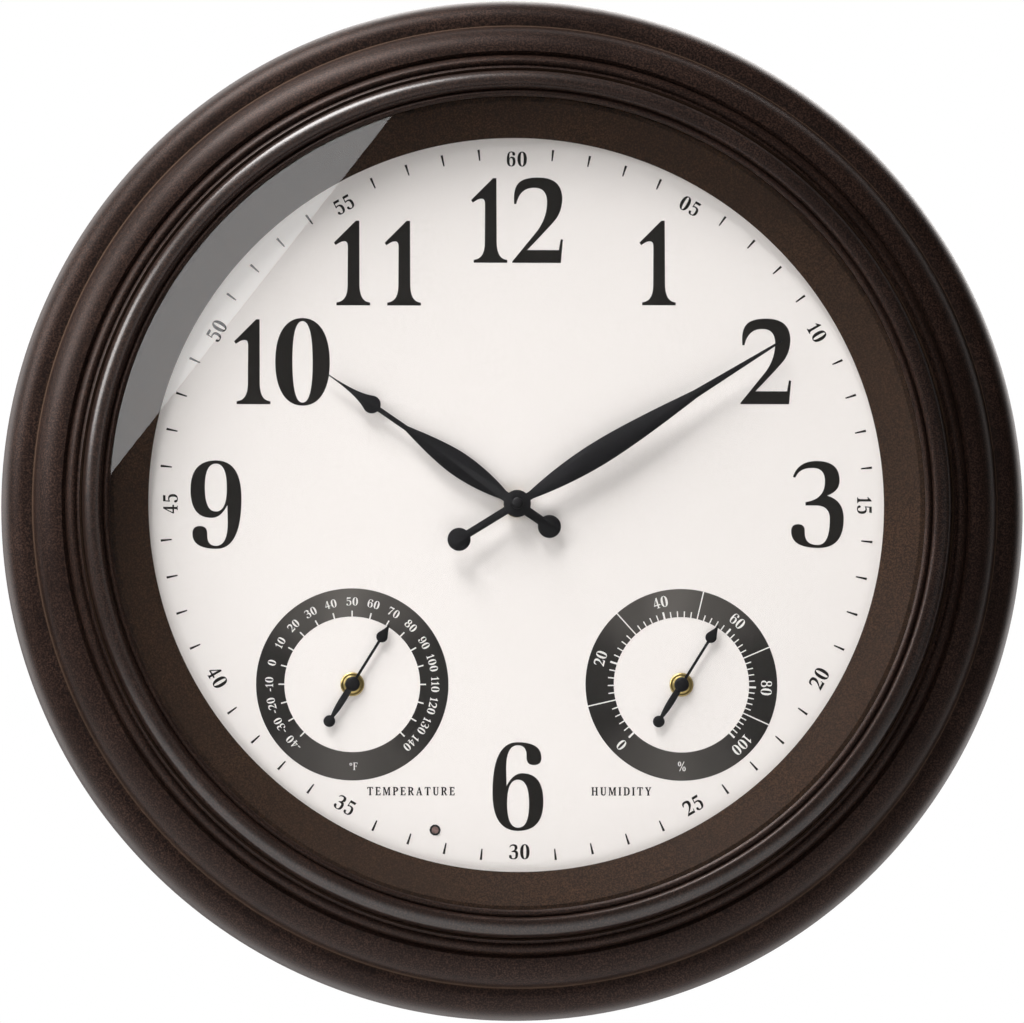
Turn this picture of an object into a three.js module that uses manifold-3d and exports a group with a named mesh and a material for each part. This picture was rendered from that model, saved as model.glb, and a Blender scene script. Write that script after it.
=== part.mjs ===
import * as THREE from 'three';
import { mergeVertices } from 'three/addons/utils/BufferGeometryUtils.js';
import Module from 'manifold-3d';

// Outdoor wall clock with a thermometer, a hygrometer and a lit dial, built from its loose pieces.
// Lengths are millimetres. X points right, Z up, and the clock faces -Y.
// "Ahead" is a distance from the wall, or from a piece's own back, towards the viewer.
// Plans are drawn as the viewer sees them: x to the right and z up, from the hands' axis.

const wasm = await Module();
wasm.setup();

// Gaps and facets shared by all pieces
const seatGap = 0.3;
const runGap = 0.25;
const overrun = 2;
const ringFacets = 36;
const roundFacets = 18;
const smallFacets = 10;
const tinyFacets = 6;
const bendSteps = 3;
const shortBendSteps = 2;

// Frame: outer moulding with its inner shell, glass pocket and cover seat
const frameRadius = 279.4;
const frameWidth = 57.6;
const lipHeight = 4.4;
const pocketPlay = 0.6;
const landWidth = 9;
const coverInset = 11;
const seatWidth = 11;
const seatThickness = 4;
const openingRadius = frameRadius - frameWidth;
const frontShares = {
  rim: [0.085, 0],
  flank: [[0, 0], [0, 0.22]],
  roll: [[0, 0.59], [0.25, 0.59]],
  step: [[0.281, 0.59], [0.29, 0.613]],
  cove: [[0.35, 0.795], [0.55, 0.828]],
  valley: [0.585, 0.822],
  bead: [[0.638, 0.885], [0.69, 0.835]],
  ridge: [[0.716, 0.852], [0.742, 0.828]],
  band: [[0.77, 0.985], [0.858, 1]],
  bandBack: [[0.915, 0.995], [0.934, 0.95]],
  lip: [[0.968, 1], [1, 0.955]],
};
const shellShares = [[0.575, 0.778], [0.35, 0.58], [0.17, 0.49], [0.07, 0.3]];
const shellFootShare = 0.085;

// Glass, its gasket, and the ring that shades the lamps
const glassLap = 7;
const glassThickness = 3;
const gasketWidth = 5.5;
const gasketThickness = 1;
const handRoom = 13.5;
const shadeReach = 21.4;
const shadeSlopeWidth = 19;
const shadeDrop = 8;
const shadeWall = 1.5;
const shadeFlangeDrop = 3.4;
const shadeFlangeThickness = 2.2;
const shadeFootInset = 6;
const shadeFootWall = 2.4;
const glassRadius = openingRadius + glassLap;
const pocketRadius = glassRadius + pocketPlay;
const shadeInnerRadius = openingRadius - shadeReach;

// Lamp strip
const lampCount = 18;
const stripThickness = 1.6;
const stripWidth = 4.2;
const stripRise = 1.2;
const lampLength = 5;
const lampHeight = 3;
const lampDepth = 1.4;

// Dial and the places of its two gauges and its light sensor
const dialInset = 7.8;
const dialThickness = 1;
const gaugeOffset = 89.6;
const gaugeDrop = 98.1;
const sensorOffset = 44.8;
const sensorInset = 36.7;
const dialRadius = openingRadius - dialInset;
const shadeFootRadius = dialRadius - shadeFootInset;
const sensorDrop = dialRadius - sensorInset;

// Rear cover, which holds the dial up from behind
const coverRecess = 2;
const coverThickness = 3;
const coverRadius = frameRadius - coverInset;
const supportInset = 4;
const supportWall = 2.4;
const wellPlay = 1;
const wellWall = 2;
const ribWidth = 2;
const ribHeight = 7;
const ribShares = [0, 0.125, 0.25, 0.75, 0.875];
const screwCount = 8;
const screwRadius = 1.8;
const screwInset = 5.9;
const notchRadius = 8;
const postRadius = 3;
const postSpread = 26;
const postFacets = 8;
const supportRadius = shadeFootRadius - supportInset;
const screwCircleRadius = coverRadius - screwInset;

// Keyhole hanger
const hangerWidth = 64;
const hangerTall = 23;
const hangerThickness = 1.4;
const hangerCorner = 4;
const keyRadius = 5;
const keySlotWidth = 5.2;
const keyRise = 9;
const hangerScrewSpread = 50;
const keyPocketDepth = 9;
const keyPocketWidth = 30;
const keyPocketWall = 2;
const hangerHeight = supportRadius + supportWall + seatGap + hangerTall / 2 - keyPocketWall;

// Battery tray with four D cells
const cellRadius = 17.1;
const cellLength = 61.5;
const cellNubRadius = 4.75;
const cellNubHeight = 1.5;
const cellEdge = 1.2;
const cellPlay = 0.6;
const contactRoom = 4;
const trayWall = 1.6;
const trayFloor = 1.2;
const trayDrop = 98.1;
const trayFlange = 3;
const trayFlangeThickness = 2;
const cradleWidth = 1.2;
const cradleHeight = 9;
const contactThickness = 0.6;
const contactTall = 22;
const contactBulge = 2.6;

// Battery door
const doorThickness = 2.2;
const doorRecess = 0.4;
const doorPlay = 0.6;
const doorPinRadius = 0.7;
const doorPinLength = 2.4;
const doorRimLap = 1.6;
const doorRibHeight = 0.3;
const doorRibWidth = 1.2;
const doorRibLength = 46;
const doorRibCount = 3;

// Lamp switch
const switchOffset = 34;
const switchDrop = 158;
const switchLength = 16;
const switchTall = 8;
const switchDepth = 7;
const switchWall = 1.2;
const sliderLength = 5;
const sliderTall = 4;
const sliderTravel = 5;
const sliderProud = 1.2;
const sliderFoot = 2.3;

// Control board and light sensor
const boardWidth = 26;
const boardTall = 34;
const boardThickness = 1.6;
const boardAhead = 24;
const chipWidth = 8;
const chipTall = 6;
const chipHeight = 2;
const sensorRadius = 1.9;
const sensorThickness = 2;
const sensorLegRadius = 0.4;
const sensorLegSpread = 2;
const sleeveWall = 0.6;
const sleeveFlange = 1.6;
const sleeveLength = 6;
const leadRadius = 0.8;
const leadFacets = 6;
const leadSteps = 9;
const leadSag = 6;
const lampLeadRadius = supportRadius - leadRadius - 3 * seatGap;
const lampLeadFront = 3.2;

// Movement housing
const movementDepth = 17.5;
const movementWall = 1.2;
const movementCorner = 3;
const bushRadius = 4;
const bushBore = 3.25;
const bushProud = 2.6;
const washerRadius = 9;
const washerThickness = 1;
const plainWasherRadius = 7;
const plainWasherThickness = 0.6;
const nutFlats = 11;
const nutSides = 6;
const nutThickness = 2.2;
const aaRadius = 7.25;
const aaLength = 50.5;
const aaNubRadius = 2.7;
const aaNubHeight = 1;
const bayTall = 15.6;
const aaContactTall = 9;
const aaContactThickness = 0.5;
const aaEndPlay = 1.05;
const movementWidth = aaLength + 2 * (aaContactThickness + aaEndPlay + movementWall);
const aaDrop = movementWidth / 2 - movementWall - bayTall / 2;

// Wheels: teeth are counts, and each pair has one module
const wheelThickness = 0.8;
const leafThickness = 1.2;
const levelPitch = 1.8;
const rootShare = 1.25;
const tipShare = 0.8;
const pinionTeeth = 6;
const cannonTeeth = 12;
const centreTeeth = 48;
const thirdTeeth = 45;
const secondTeeth = 36;
const firstTeeth = 30;
const motionTeeth = 36;
const hourTeeth = 48;
const centreModule = 0.4;
const thirdModule = 0.32;
const secondModule = 0.34;
const firstModule = 0.38;
const cannonModule = 0.5;
const hourModule = cannonModule * (cannonTeeth + motionTeeth) / (cannonTeeth + hourTeeth);
const thirdTurnShare = 150 / 360;
const secondTurnShare = 100 / 360;
const firstTurnShare = 10 / 360;
const rotorTurnShare = 20 / 360;
const motionTurnShare = 15 / 360;
const knobTurnShare = -40 / 360;
const arborRadius = 0.6;
const pivotRadius = 0.4;
const pivotLength = 0.8;
const minuteArborRadius = 1.5;
const pipeWall = 0.9;
const postPinRadius = 1;
const plateThickness = 1;
const rotorRadius = 2.6;
const rotorHeight = 2.2;
const knobRadius = 6;
const knobThickness = 3;
const knobShaftRadius = 2;
const knobNotchCount = 10;
const knobNotchRadius = 0.6;

// Motor: stator, core and coil, and the movement's own board
const statorThickness = 1;
const statorRight = movementWidth / 2 - movementWall - 2 * seatGap;
const statorLeft = -1.6;
const statorFoot = 12.8;
const statorLobe = 7.2;
const statorBar = 3.2;
const statorPost = 3.6;
const rotorGap = 0.5;
const coreTall = 3.2;
const coreThickness = 1;
const coilLength = 14;
const coilTall = 6.2;
const coilDepth = 5.6;
const coilPlay = 0.3;
const statorTop = movementWidth / 2 - movementWall - seatGap - (coilTall - coreTall) / 2;
const circuitWidth = 8;
const circuitTall = 16;
const circuitThickness = 0.8;

// Hands
const handThickness = 0.8;
const handLift = 3.3;
const handStep = 3.4;
const hourTurnShare = 304.5 / 360;
const minuteTurnShare = 58.3 / 360;
const minuteHand = {
  tip: 170.9, tipWidth: 1, shoulder: 114.4, shoulderWidth: 4.4, leaf: 53.5, leafWidth: 13.2,
  root: 9, rootWidth: 4.4, boss: 7.4, tail: 37.3, tailWidth: 4.2, ball: 6.3,
};
const hourHand = {
  tip: 124.7, drop: 95.7, dropRadius: 4.9, neckTop: 90.6, neck: 72.8, neckWidth: 2.7,
  leaf: 37.8, leafWidth: 13.2,
  root: 9, rootWidth: 5.4, boss: 6.2, tail: 21.5, tailWidth: 5, ball: 6.3,
};
const dropShares = [-0.17, -0.1, -0.03, 0.06];
const bossThickness = 1.2;
const handNutRadius = 3.1;
const handNutHeight = 2;
const arborTipRadius = 1.2;

// Thermometer and hygrometer
const cupRadius = 16;
const cupDepth = 9;
const cupWall = 1.1;
const cupRim = 2.4;
const gaugeFacets = 12;
const gaugeBushRadius = 6.5;
const gaugeBushHeight = 0.9;
const gaugeBarrelRadius = 3;
const gaugeStaffRadius = 0.8;
const gaugePointerGap = 0.5;
const gaugePointerThickness = 0.6;
const gaugeBossRadius = 4;
const gaugeBossHeight = 1.3;
const coilTurns = 3.5;
const coilStepsPerTurn = 8;
const coilOuterRadius = 13.2;
const coilInnerRadius = 4.2;
const coilStrip = 0.45;
const coilStripWidth = 4;
const gaugeTurnShare = 32 / 360;
const gaugeHand = {
  tip: 38, drop: 30.4, dropRadius: 3.1, stemWidth: 1.5, tail: 23.8, tailWidth: 3.4, ball: 3.2,
};

// Depths, worked out from the wall towards the viewer
const coverFront = coverRecess + coverThickness;
const trayBack = coverFront + seatGap;
const trayFloorBack = trayBack + 2 * cellRadius + seatGap;
const trayFront = trayFloorBack + trayFloor;
const dialBack = trayFront + seatGap;
const dialFront = dialBack + dialThickness;
const glassBack = dialFront + handRoom;
const gasketBack = glassBack + glassThickness + seatGap;
const ledgeAhead = gasketBack + gasketThickness + seatGap;
const frameDepth = ledgeAhead + lipHeight;
const shadeFront = glassBack - seatGap;
const shadeFlangeFront = shadeFront - shadeFlangeDrop;
const landAhead = shadeFlangeFront + seatGap;
const washerBack = dialBack - seatGap - washerThickness;
const movementFront = washerBack - seatGap;
const movementBack = movementFront - movementDepth;
const lidBack = movementFront - movementWall;
const caseFloor = movementBack + movementWall;
const thirdLevel = caseFloor + levelPitch - wheelThickness;
const secondLevel = thirdLevel + levelPitch;
const firstLevel = secondLevel + levelPitch;
const centreLevel = firstLevel + levelPitch;
const plateBack = centreLevel + levelPitch;
const plateFront = plateBack + plateThickness;
const motionLevel = plateFront + wheelThickness;
const hourLevel = motionLevel + 2 * wheelThickness + seatGap;
const bushFront = dialFront + bushProud;
const hourHandBack = dialFront + handLift + seatGap;
const minuteHandBack = hourHandBack + handStep;
const handNutBack = minuteHandBack + bossThickness + seatGap;
const trayInnerWidth = 2 * (cellLength + contactRoom);
const trayInnerTall = 4 * cellRadius + 2 * cellPlay + cradleWidth;
const doorWidth = trayInnerWidth + 2 * doorRimLap;
const doorTall = trayInnerTall + 2 * doorRimLap;
const doorBack = coverRecess + doorRecess;
const wellInner = movementWidth / 2 + wellPlay;

// A turn share becomes an angle, measured from +x towards +z
const angleOf = (share) => share * 2 * Math.PI;

// The place at a distance and a turn share from another place
function placeFrom([x, z], distance, share) {
  const angle = angleOf(share);
  return [x + distance * Math.cos(angle), z + distance * Math.sin(angle)];
}

// Outlines are turned round so that their area is positive
function faceOut(outline) {
  let area = 0;
  outline.forEach(([x, y], i) => {
    const [nextX, nextY] = outline[(i + 1) % outline.length];
    area += x * nextY - nextX * y;
  });
  return area < 0 ? [...outline].reverse() : outline;
}

// A body of revolution about the hands' axis, from [radius, ahead] points
function revolve(outline, facets = ringFacets) {
  const points = faceOut(outline.map(([radius, ahead]) => [radius, -ahead]));
  const onAxis = points[0][0] === 0 && points.at(-1)[0] === 0;
  const start = points.findIndex((p, i) => p[0] === 0 && points.at(i - 1)[0] === 0);
  const turned = start > 0 ? [...points.slice(start), ...points.slice(0, start)] : points;
  const closed = onAxis || start >= 0 ? turned : [...turned, turned[0]];
  return new THREE.LatheGeometry(closed.map(([x, y]) => new THREE.Vector2(x, y)), facets);
}

// A flat piece of even thickness, drawn in the front view
function plate(outline, thickness, holes = []) {
  const shape = new THREE.Shape(outline.map(([x, z]) => new THREE.Vector2(x, z)));
  shape.holes = holes.map((hole) => new THREE.Path(hole.map(([x, z]) => new THREE.Vector2(x, z))));
  const geometry = new THREE.ExtrudeGeometry(shape, { depth: thickness, bevelEnabled: false });
  return geometry.rotateX(Math.PI / 2);
}

function disc(radius, thickness, facets = smallFacets) {
  return plate(circle(radius, facets), thickness);
}

function block(width, tall, depth) {
  return new THREE.BoxGeometry(width, depth, tall).translate(0, -depth / 2, 0);
}

function circle(radius, facets, [x, z] = [0, 0]) {
  const corner = (i) => placeFrom([x, z], radius, i / facets);
  return Array.from({ length: facets }, (_, i) => corner(i));
}

function rectangle(width, tall, corner = 0, [x, z] = [0, 0]) {
  if (corner === 0) {
    return [[-1, -1], [1, -1], [1, 1], [-1, 1]].map(([u, v]) => [x + u * width / 2, z + v * tall / 2]);
  }
  return [[1, 1], [-1, 1], [-1, -1], [1, -1]].flatMap(([u, v], side) => {
    const middle = [x + u * (width / 2 - corner), z + v * (tall / 2 - corner)];
    return Array.from({ length: bendSteps + 1 }, (_, i) =>
      placeFrom(middle, corner, (side + i / bendSteps) / 4));
  });
}

// Points along a curve from one end over a control point to the other
function bend(start, control, end, steps = bendSteps) {
  const curve = new THREE.QuadraticBezierCurve(...[start, control, end].map((p) => new THREE.Vector2(...p)));
  return curve.getPoints(steps).map((p) => [p.x, p.y]);
}

// A right-hand half outline and its mirror image make one closed outline
function mirrored(half) {
  const left = half.filter(([x]) => x > 0).map(([x, z]) => [-x, z]).reverse();
  return [...half, ...left];
}

function shifted(geometry, [x, z], ahead) {
  return geometry.translate(x, -ahead, z);
}

// Solids for joining and cutting
function solidOf(geometry) {
  const bare = geometry.clone();
  bare.deleteAttribute('normal');
  bare.deleteAttribute('uv');
  const merged = mergeVertices(bare);
  const corners = [];
  for (let i = 0; i < merged.index.count; i += 3) {
    const [a, b, c] = [0, 1, 2].map((k) => merged.index.getX(i + k));
    if (a !== b && b !== c && c !== a) corners.push(a, b, c);
  }
  const vertProperties = merged.attributes.position.array;
  return new wasm.Manifold(new wasm.Mesh({ numProp: 3, vertProperties, triVerts: new Uint32Array(corners) }));
}

function geometryOf(solid) {
  const mesh = solid.getMesh();
  const geometry = new THREE.BufferGeometry();
  geometry.setAttribute('position', new THREE.BufferAttribute(mesh.vertProperties, 3));
  geometry.setIndex(new THREE.BufferAttribute(mesh.triVerts, 1));
  geometry.computeVertexNormals();
  return geometry;
}

function joined(...geometries) {
  return geometryOf(geometries.map(solidOf).reduce((whole, next) => whole.add(next)));
}

function cut(geometry, ...cutters) {
  return geometryOf(cutters.map(solidOf).reduce((whole, next) => whole.subtract(next), solidOf(geometry)));
}

// Materials
function finish(color, roughness, metalness) {
  return new THREE.MeshStandardMaterial({ color, roughness, metalness });
}

const bronzePaint = finish(0x2f2724, 0.38, 0.25);
const brownPaint = finish(0x4b3c32, 0.6, 0.1);
const clearGlass = new THREE.MeshStandardMaterial({
  color: 0xeef4f4, roughness: 0.05, transparent: true, opacity: 0.25,
});
const blackRubber = finish(0x161616, 0.85, 0);
const dialPaint = finish(0xf6f2ec, 0.55, 0);
const handPaint = finish(0x1d1b22, 0.4, 0.3);
const blackPlastic = finish(0x1c1c1d, 0.6, 0);
const greyPlastic = finish(0x8c8f92, 0.5, 0);
const whitePlastic = finish(0xe7e5df, 0.5, 0);
const wheelPlastic = finish(0xe9dcc0, 0.45, 0);
const brass = finish(0xb08a3e, 0.3, 1);
const steel = finish(0xa9acae, 0.32, 1);
const bimetal = finish(0xb9834f, 0.35, 1);
const copperWire = finish(0xa4552d, 0.35, 1);
const boardGreen = finish(0x2c5a3a, 0.5, 0);
const boardWhite = finish(0xdfe2dc, 0.5, 0);
const cellSkin = finish(0x3b3f45, 0.4, 0.2);
const leadSkin = finish(0x8e1f1c, 0.5, 0);
const sensorFace = finish(0x9a6a5c, 0.5, 0);

function piece(name, geometry, material, [x, z] = [0, 0], ahead = 0) {
  const mesh = new THREE.Mesh(geometry, material);
  mesh.name = name;
  mesh.position.set(x, -ahead, z);
  return mesh;
}

// Frame and window

function frameOutline() {
  const at = ([across, height]) => [frameRadius - across * frameWidth, height * frameDepth];
  const sweep = (from, [control, end], steps) => bend(at(from), at(control), at(end), steps).slice(1);
  const s = frontShares;
  const front = [
    at(s.rim), ...sweep(s.rim, s.flank, shortBendSteps), ...sweep(s.flank[1], s.roll), ...s.step.map(at),
    ...sweep(s.step[1], s.cove), at(s.valley), ...sweep(s.valley, s.bead), ...s.ridge.map(at),
    ...sweep(s.ridge[1], s.band), ...sweep(s.band[1], s.bandBack, shortBendSteps),
    ...sweep(s.bandBack[1], s.lip, shortBendSteps),
  ];
  const seatAhead = coverFront + seatGap;
  const seatInner = coverRadius - seatWidth;
  const back = [
    [openingRadius, ledgeAhead], [pocketRadius, ledgeAhead], [pocketRadius, landAhead],
    [pocketRadius + landWidth, landAhead], ...shellShares.map(at),
    [frameRadius - shellFootShare * frameWidth, seatAhead + seatThickness],
    [seatInner, seatAhead + seatThickness], [seatInner, seatAhead],
    [coverRadius + pocketPlay, seatAhead], [coverRadius + pocketPlay, 0],
  ];
  return [...front, ...back];
}

function gasketOutline() {
  const inner = glassRadius - gasketWidth;
  return [[inner, 0], [glassRadius, 0], [glassRadius, gasketThickness], [inner, gasketThickness]];
}

function shadeOutline() {
  const flangeRadius = pocketRadius + landWidth;
  const flangeBack = shadeFlangeFront - shadeFlangeThickness;
  const footOuter = shadeFootRadius + shadeFootWall;
  const slopeOuter = shadeInnerRadius + shadeSlopeWidth;
  const footTop = shadeFront - shadeDrop * (slopeOuter - shadeFootRadius) / shadeSlopeWidth - shadeWall;
  return [
    [shadeInnerRadius, shadeFront - shadeDrop], [slopeOuter, shadeFront], [glassRadius, shadeFront],
    [glassRadius, shadeFlangeFront], [flangeRadius, shadeFlangeFront], [flangeRadius, flangeBack],
    [footOuter, flangeBack], [footOuter, dialFront + seatGap], [shadeFootRadius, dialFront + seatGap],
    [shadeFootRadius, footTop], [shadeInnerRadius, shadeFront - shadeDrop - shadeWall],
  ];
}

function lampStrip() {
  const outer = shadeFootRadius - seatGap;
  const inner = outer - stripThickness;
  const ring = revolve([[inner, 0], [outer, 0], [outer, stripWidth], [inner, stripWidth]]);
  const lamps = Array.from({ length: lampCount }, (_, i) => {
    const share = (i + 1 / 2) / lampCount;
    const lamp = block(lampDepth + stripThickness / 2, lampLength, lampHeight);
    lamp.rotateY(-angleOf(share));
    const place = placeFrom([0, 0], inner - lampDepth / 2 + stripThickness / 4, share);
    return shifted(lamp, place, (stripWidth - lampHeight) / 2);
  });
  return joined(ring, ...lamps);
}

function dialPlate() {
  const gaugeHole = gaugeBarrelRadius + seatGap;
  const holes = [
    circle(bushRadius + seatGap, smallFacets),
    circle(gaugeHole, smallFacets, [-gaugeOffset, -gaugeDrop]),
    circle(gaugeHole, smallFacets, [gaugeOffset, -gaugeDrop]),
    circle(sensorRadius + sleeveWall + 2 * seatGap, smallFacets, [-sensorOffset, -sensorDrop]),
    circle(leadRadius + seatGap, smallFacets, lampLeadPlace()),
  ];
  return plate(circle(dialRadius, ringFacets), dialThickness, holes);
}

// Rear cover with its well, ribs, pockets and cut-outs

function keyPocket(grow, depth) {
  return block(keyPocketWidth + 2 * grow, hangerTall - 2 * keyPocketWall + 2 * grow, depth);
}

function rearCover() {
  const top = dialBack - seatGap - coverRecess;
  const supportOuter = supportRadius + supportWall;
  const base = revolve([
    [0, 0], [coverRadius, 0], [coverRadius, coverThickness], [supportOuter, coverThickness],
    [supportOuter, top], [supportRadius, top], [supportRadius, coverThickness], [0, coverThickness],
  ]);
  const wellOuter = 2 * (wellInner + wellWall);
  const ribStart = wellInner;
  const ribLength = supportRadius + supportWall / 2 - ribStart;
  const ribs = ribShares.map((share) => {
    const middle = ribStart + ribLength / 2;
    const rib = block(ribWidth, ribLength, ribHeight + coverThickness).translate(0, 0, middle);
    return rib.rotateY(angleOf(share));
  });
  const posts = [-1, 1].map((side) =>
    shifted(disc(postRadius, boardAhead - coverRecess - seatGap, postFacets), postPlace(side), 0));
  const tray = [0, -trayDrop];
  const hanger = [0, hangerHeight];
  const screws = Array.from({ length: screwCount }, (_, i) => {
    const hole = disc(screwRadius, coverThickness + 2 * overrun, postFacets);
    return shifted(hole, placeFrom([0, 0], screwCircleRadius, (i + 1 / 2) / screwCount), -overrun);
  });
  const doorHole = block(doorWidth + 2 * doorPlay, doorTall + 2 * doorPlay, coverThickness + 2 * overrun);
  const notchAt = [0, tray[1] + doorTall / 2];
  const pinSpan = doorWidth + 2 * doorPinLength + 2 * seatGap;
  const pinHole = rod(doorPinRadius + runGap, pinSpan);
  return cut(
    joined(
      base, block(wellOuter, wellOuter, top), ...ribs, ...posts,
      shifted(keyPocket(keyPocketWall, keyPocketDepth + keyPocketWall), hanger, 0),
    ),
    shifted(block(2 * wellInner, 2 * wellInner, top + 2 * overrun), [0, 0], -overrun),
    shifted(keyPocket(0, keyPocketDepth + overrun), hanger, -overrun),
    shifted(doorHole, tray, -overrun),
    shifted(disc(notchRadius, coverThickness + 2 * overrun), notchAt, -overrun),
    shifted(pinHole, hingePlace(), doorBack - coverRecess + doorThickness / 2),
    shifted(block(switchSlotLength(), sliderTall + 2 * doorPlay, coverThickness + 2 * overrun),
      switchPlace(), -overrun),
    ...screws,
  );
}

function postPlace(side) {
  return [-sensorOffset, boardMiddle() + side * postSpread / 2];
}

function boardMiddle() {
  return -sensorDrop + boardTall / 4;
}

function hingePlace() {
  return [0, -trayDrop - doorTall / 2 + doorThickness / 2];
}

function switchPlace() {
  return [switchOffset, -switchDrop];
}

function switchSlotLength() {
  return sliderLength + sliderTravel + 2 * doorPlay;
}

// A round bar along x, centred on its place
function rod(radius, length) {
  const bar = new THREE.CylinderGeometry(radius, radius, length, postFacets);
  return bar.rotateZ(Math.PI / 2);
}

// Keyhole hanger

function hangerPlate() {
  const rise = keyRise;
  const half = keySlotWidth / 2;
  const neck = Math.sqrt(keyRadius ** 2 - half ** 2);
  const bottom = circle(keyRadius, 2 * smallFacets).filter(([, z]) => z < neck - seatGap);
  const round = Array.from({ length: bendSteps * 2 + 1 }, (_, i) =>
    placeFrom([0, 0], half, i / bendSteps / 4));
  const slot = [[half, neck], ...round.map(([x, z]) => [x, z + rise]), [-half, neck]];
  const start = bottom.findIndex(([x], i) => x < 0 && bottom.at(i - 1)[0] > 0 && bottom[i][1] > 0);
  const lower = start < 0 ? bottom : [...bottom.slice(start), ...bottom.slice(0, start)];
  const keyhole = [...slot, ...lower].map(([x, z]) => [x, z - rise / 2]);
  const screwHole = (side) => circle(screwRadius, smallFacets, [side * hangerScrewSpread / 2, 0]);
  return plate(
    rectangle(hangerWidth, hangerTall, hangerCorner), hangerThickness, [keyhole, screwHole(-1), screwHole(1)],
  );
}

// Battery tray, cells, contacts and door

function batteryTray() {
  const outerWidth = trayInnerWidth + 2 * trayWall;
  const outerTall = trayInnerTall + 2 * trayWall;
  const depth = trayFront - trayBack;
  const cradle = block(trayInnerWidth, cradleWidth, cradleHeight);
  return joined(
    cut(
      joined(
        block(outerWidth, outerTall, depth),
        block(outerWidth + 2 * trayFlange, outerTall + 2 * trayFlange, trayFlangeThickness),
      ),
      shifted(block(trayInnerWidth, trayInnerTall, depth - trayFloor + overrun), [0, 0], -overrun),
    ),
    shifted(cradle, [0, 0], depth - trayFloor - cradleHeight + trayFloor / 2),
  );
}

function cell(radius, length, nubRadius, nubHeight, edge, facets) {
  const shoulder = length - nubHeight;
  const outline = [
    [0, 0], [radius - edge, 0], [radius, edge], [radius, shoulder - edge],
    [radius - edge, shoulder], [nubRadius, shoulder], [nubRadius, length], [0, length],
  ];
  return revolve(outline, facets).translate(0, length / 2, 0);
}

// A spring leaf bowed towards its cell, standing on a flat back
function contactLeaf(thickness, bulge, tall, width) {
  const half = tall / 2;
  const outer = bend([0, -half], [2 * bulge, 0], [0, half], 2 * bendSteps);
  const inner = outer.map(([x, z]) => [x - thickness, z]);
  const back = rectangle(thickness, tall + 2 * thickness, 0, [-thickness / 2, 0]);
  return joined(plate([...outer, ...inner.reverse()], width), plate(back, width));
}

function contactRow(side) {
  return -trayDrop + side * (cellRadius + cradleWidth / 2 + cellPlay / 2);
}

function batteryContacts() {
  const depth = contactTall;
  const ahead = trayBack + cellRadius - depth / 2;
  const end = trayInnerWidth / 2 - seatGap;
  const leaf = () => contactLeaf(contactThickness, contactBulge, contactTall, depth);
  const strap = rectangle(contactThickness, 2 * (cellRadius + cellPlay), 0, [-contactThickness / 2, 0]);
  const pair = [-1, 1].map((side) => shifted(leaf(), [0, contactRow(side) + trayDrop], 0));
  const bridge = joined(...pair, plate(strap, depth / 2));
  const turned = (geometry) => geometry.rotateY(Math.PI);
  return [
    piece('battery_contact_bridge', bridge, steel, [contactThickness - end, -trayDrop], ahead),
    piece('battery_contact_upper', turned(leaf()), steel, [end - contactThickness, contactRow(1)], ahead),
    piece('battery_contact_lower', turned(leaf()), steel, [end - contactThickness, contactRow(-1)], ahead),
  ];
}

function batteryCells() {
  const places = [[-1, 1], [1, 1], [-1, -1], [1, -1]];
  return places.map(([side, row], i) => {
    const geometry = cell(cellRadius, cellLength, cellNubRadius, cellNubHeight, cellEdge, smallFacets);
    const mesh = piece(`battery_cell_${i + 1}`, geometry, cellSkin,
      [side * (cellLength + seatGap) / 2, contactRow(row)], trayBack + cellRadius);
    mesh.rotation.z = row * Math.PI / 2;
    return mesh;
  });
}

function batteryDoor() {
  const half = doorThickness / 2;
  const hinge = rod(half, doorWidth);
  const sheet = block(doorWidth, doorTall - half, doorThickness);
  const ribs = Array.from({ length: doorRibCount }, (_, i) => {
    const z = doorTall / 2 - notchRadius - 2 * i * doorRibWidth;
    return shifted(block(doorRibLength, doorRibWidth, doorRibHeight + half), [0, z], -doorRibHeight);
  });
  const pins = rod(doorPinRadius, doorWidth + 2 * doorPinLength);
  const middle = doorTall / 2;
  return joined(
    shifted(sheet, [0, middle - half / 2], 0),
    shifted(hinge, [0, 0], half),
    shifted(pins, [0, 0], half),
    ...ribs.map((rib) => shifted(rib, [0, middle - half], 0)),
  );
}

// Lamp switch, control board and light sensor

function switchBody() {
  const hollow = block(
    switchLength - 2 * switchWall, switchTall - 2 * switchWall, switchDepth - switchWall + overrun);
  return cut(block(switchLength, switchTall, switchDepth), shifted(hollow, [0, 0], -overrun));
}

function switchSlider() {
  const stem = block(sliderLength, sliderTall, coverThickness + sliderProud + 2 * seatGap);
  const foot = block(sliderLength, switchTall - 2 * switchWall - 2 * seatGap, sliderFoot);
  return joined(stem, shifted(foot, [0, 0], coverThickness + sliderProud + seatGap));
}

function controlBoard() {
  const board = block(boardWidth, boardTall, boardThickness);
  const chip = block(chipWidth, chipTall, chipHeight + boardThickness);
  const relay = block(chipTall, chipWidth, chipHeight + 2 * boardThickness);
  return joined(board,
    shifted(chip, [-chipWidth / 2, chipTall], 0), shifted(relay, [chipWidth, chipWidth], 0));
}

function sensorBody() {
  const head = disc(sensorRadius, sensorThickness);
  const reach = sensorBack() - boardAhead - boardThickness - seatGap;
  const legs = [-1, 1].map((side) =>
    shifted(disc(sensorLegRadius, reach + sensorThickness / 2, tinyFacets),
      [side * sensorLegSpread / 2, 0], -reach));
  return joined(head, ...legs);
}

function sensorBack() {
  return dialFront + seatGap - sensorThickness;
}

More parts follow.
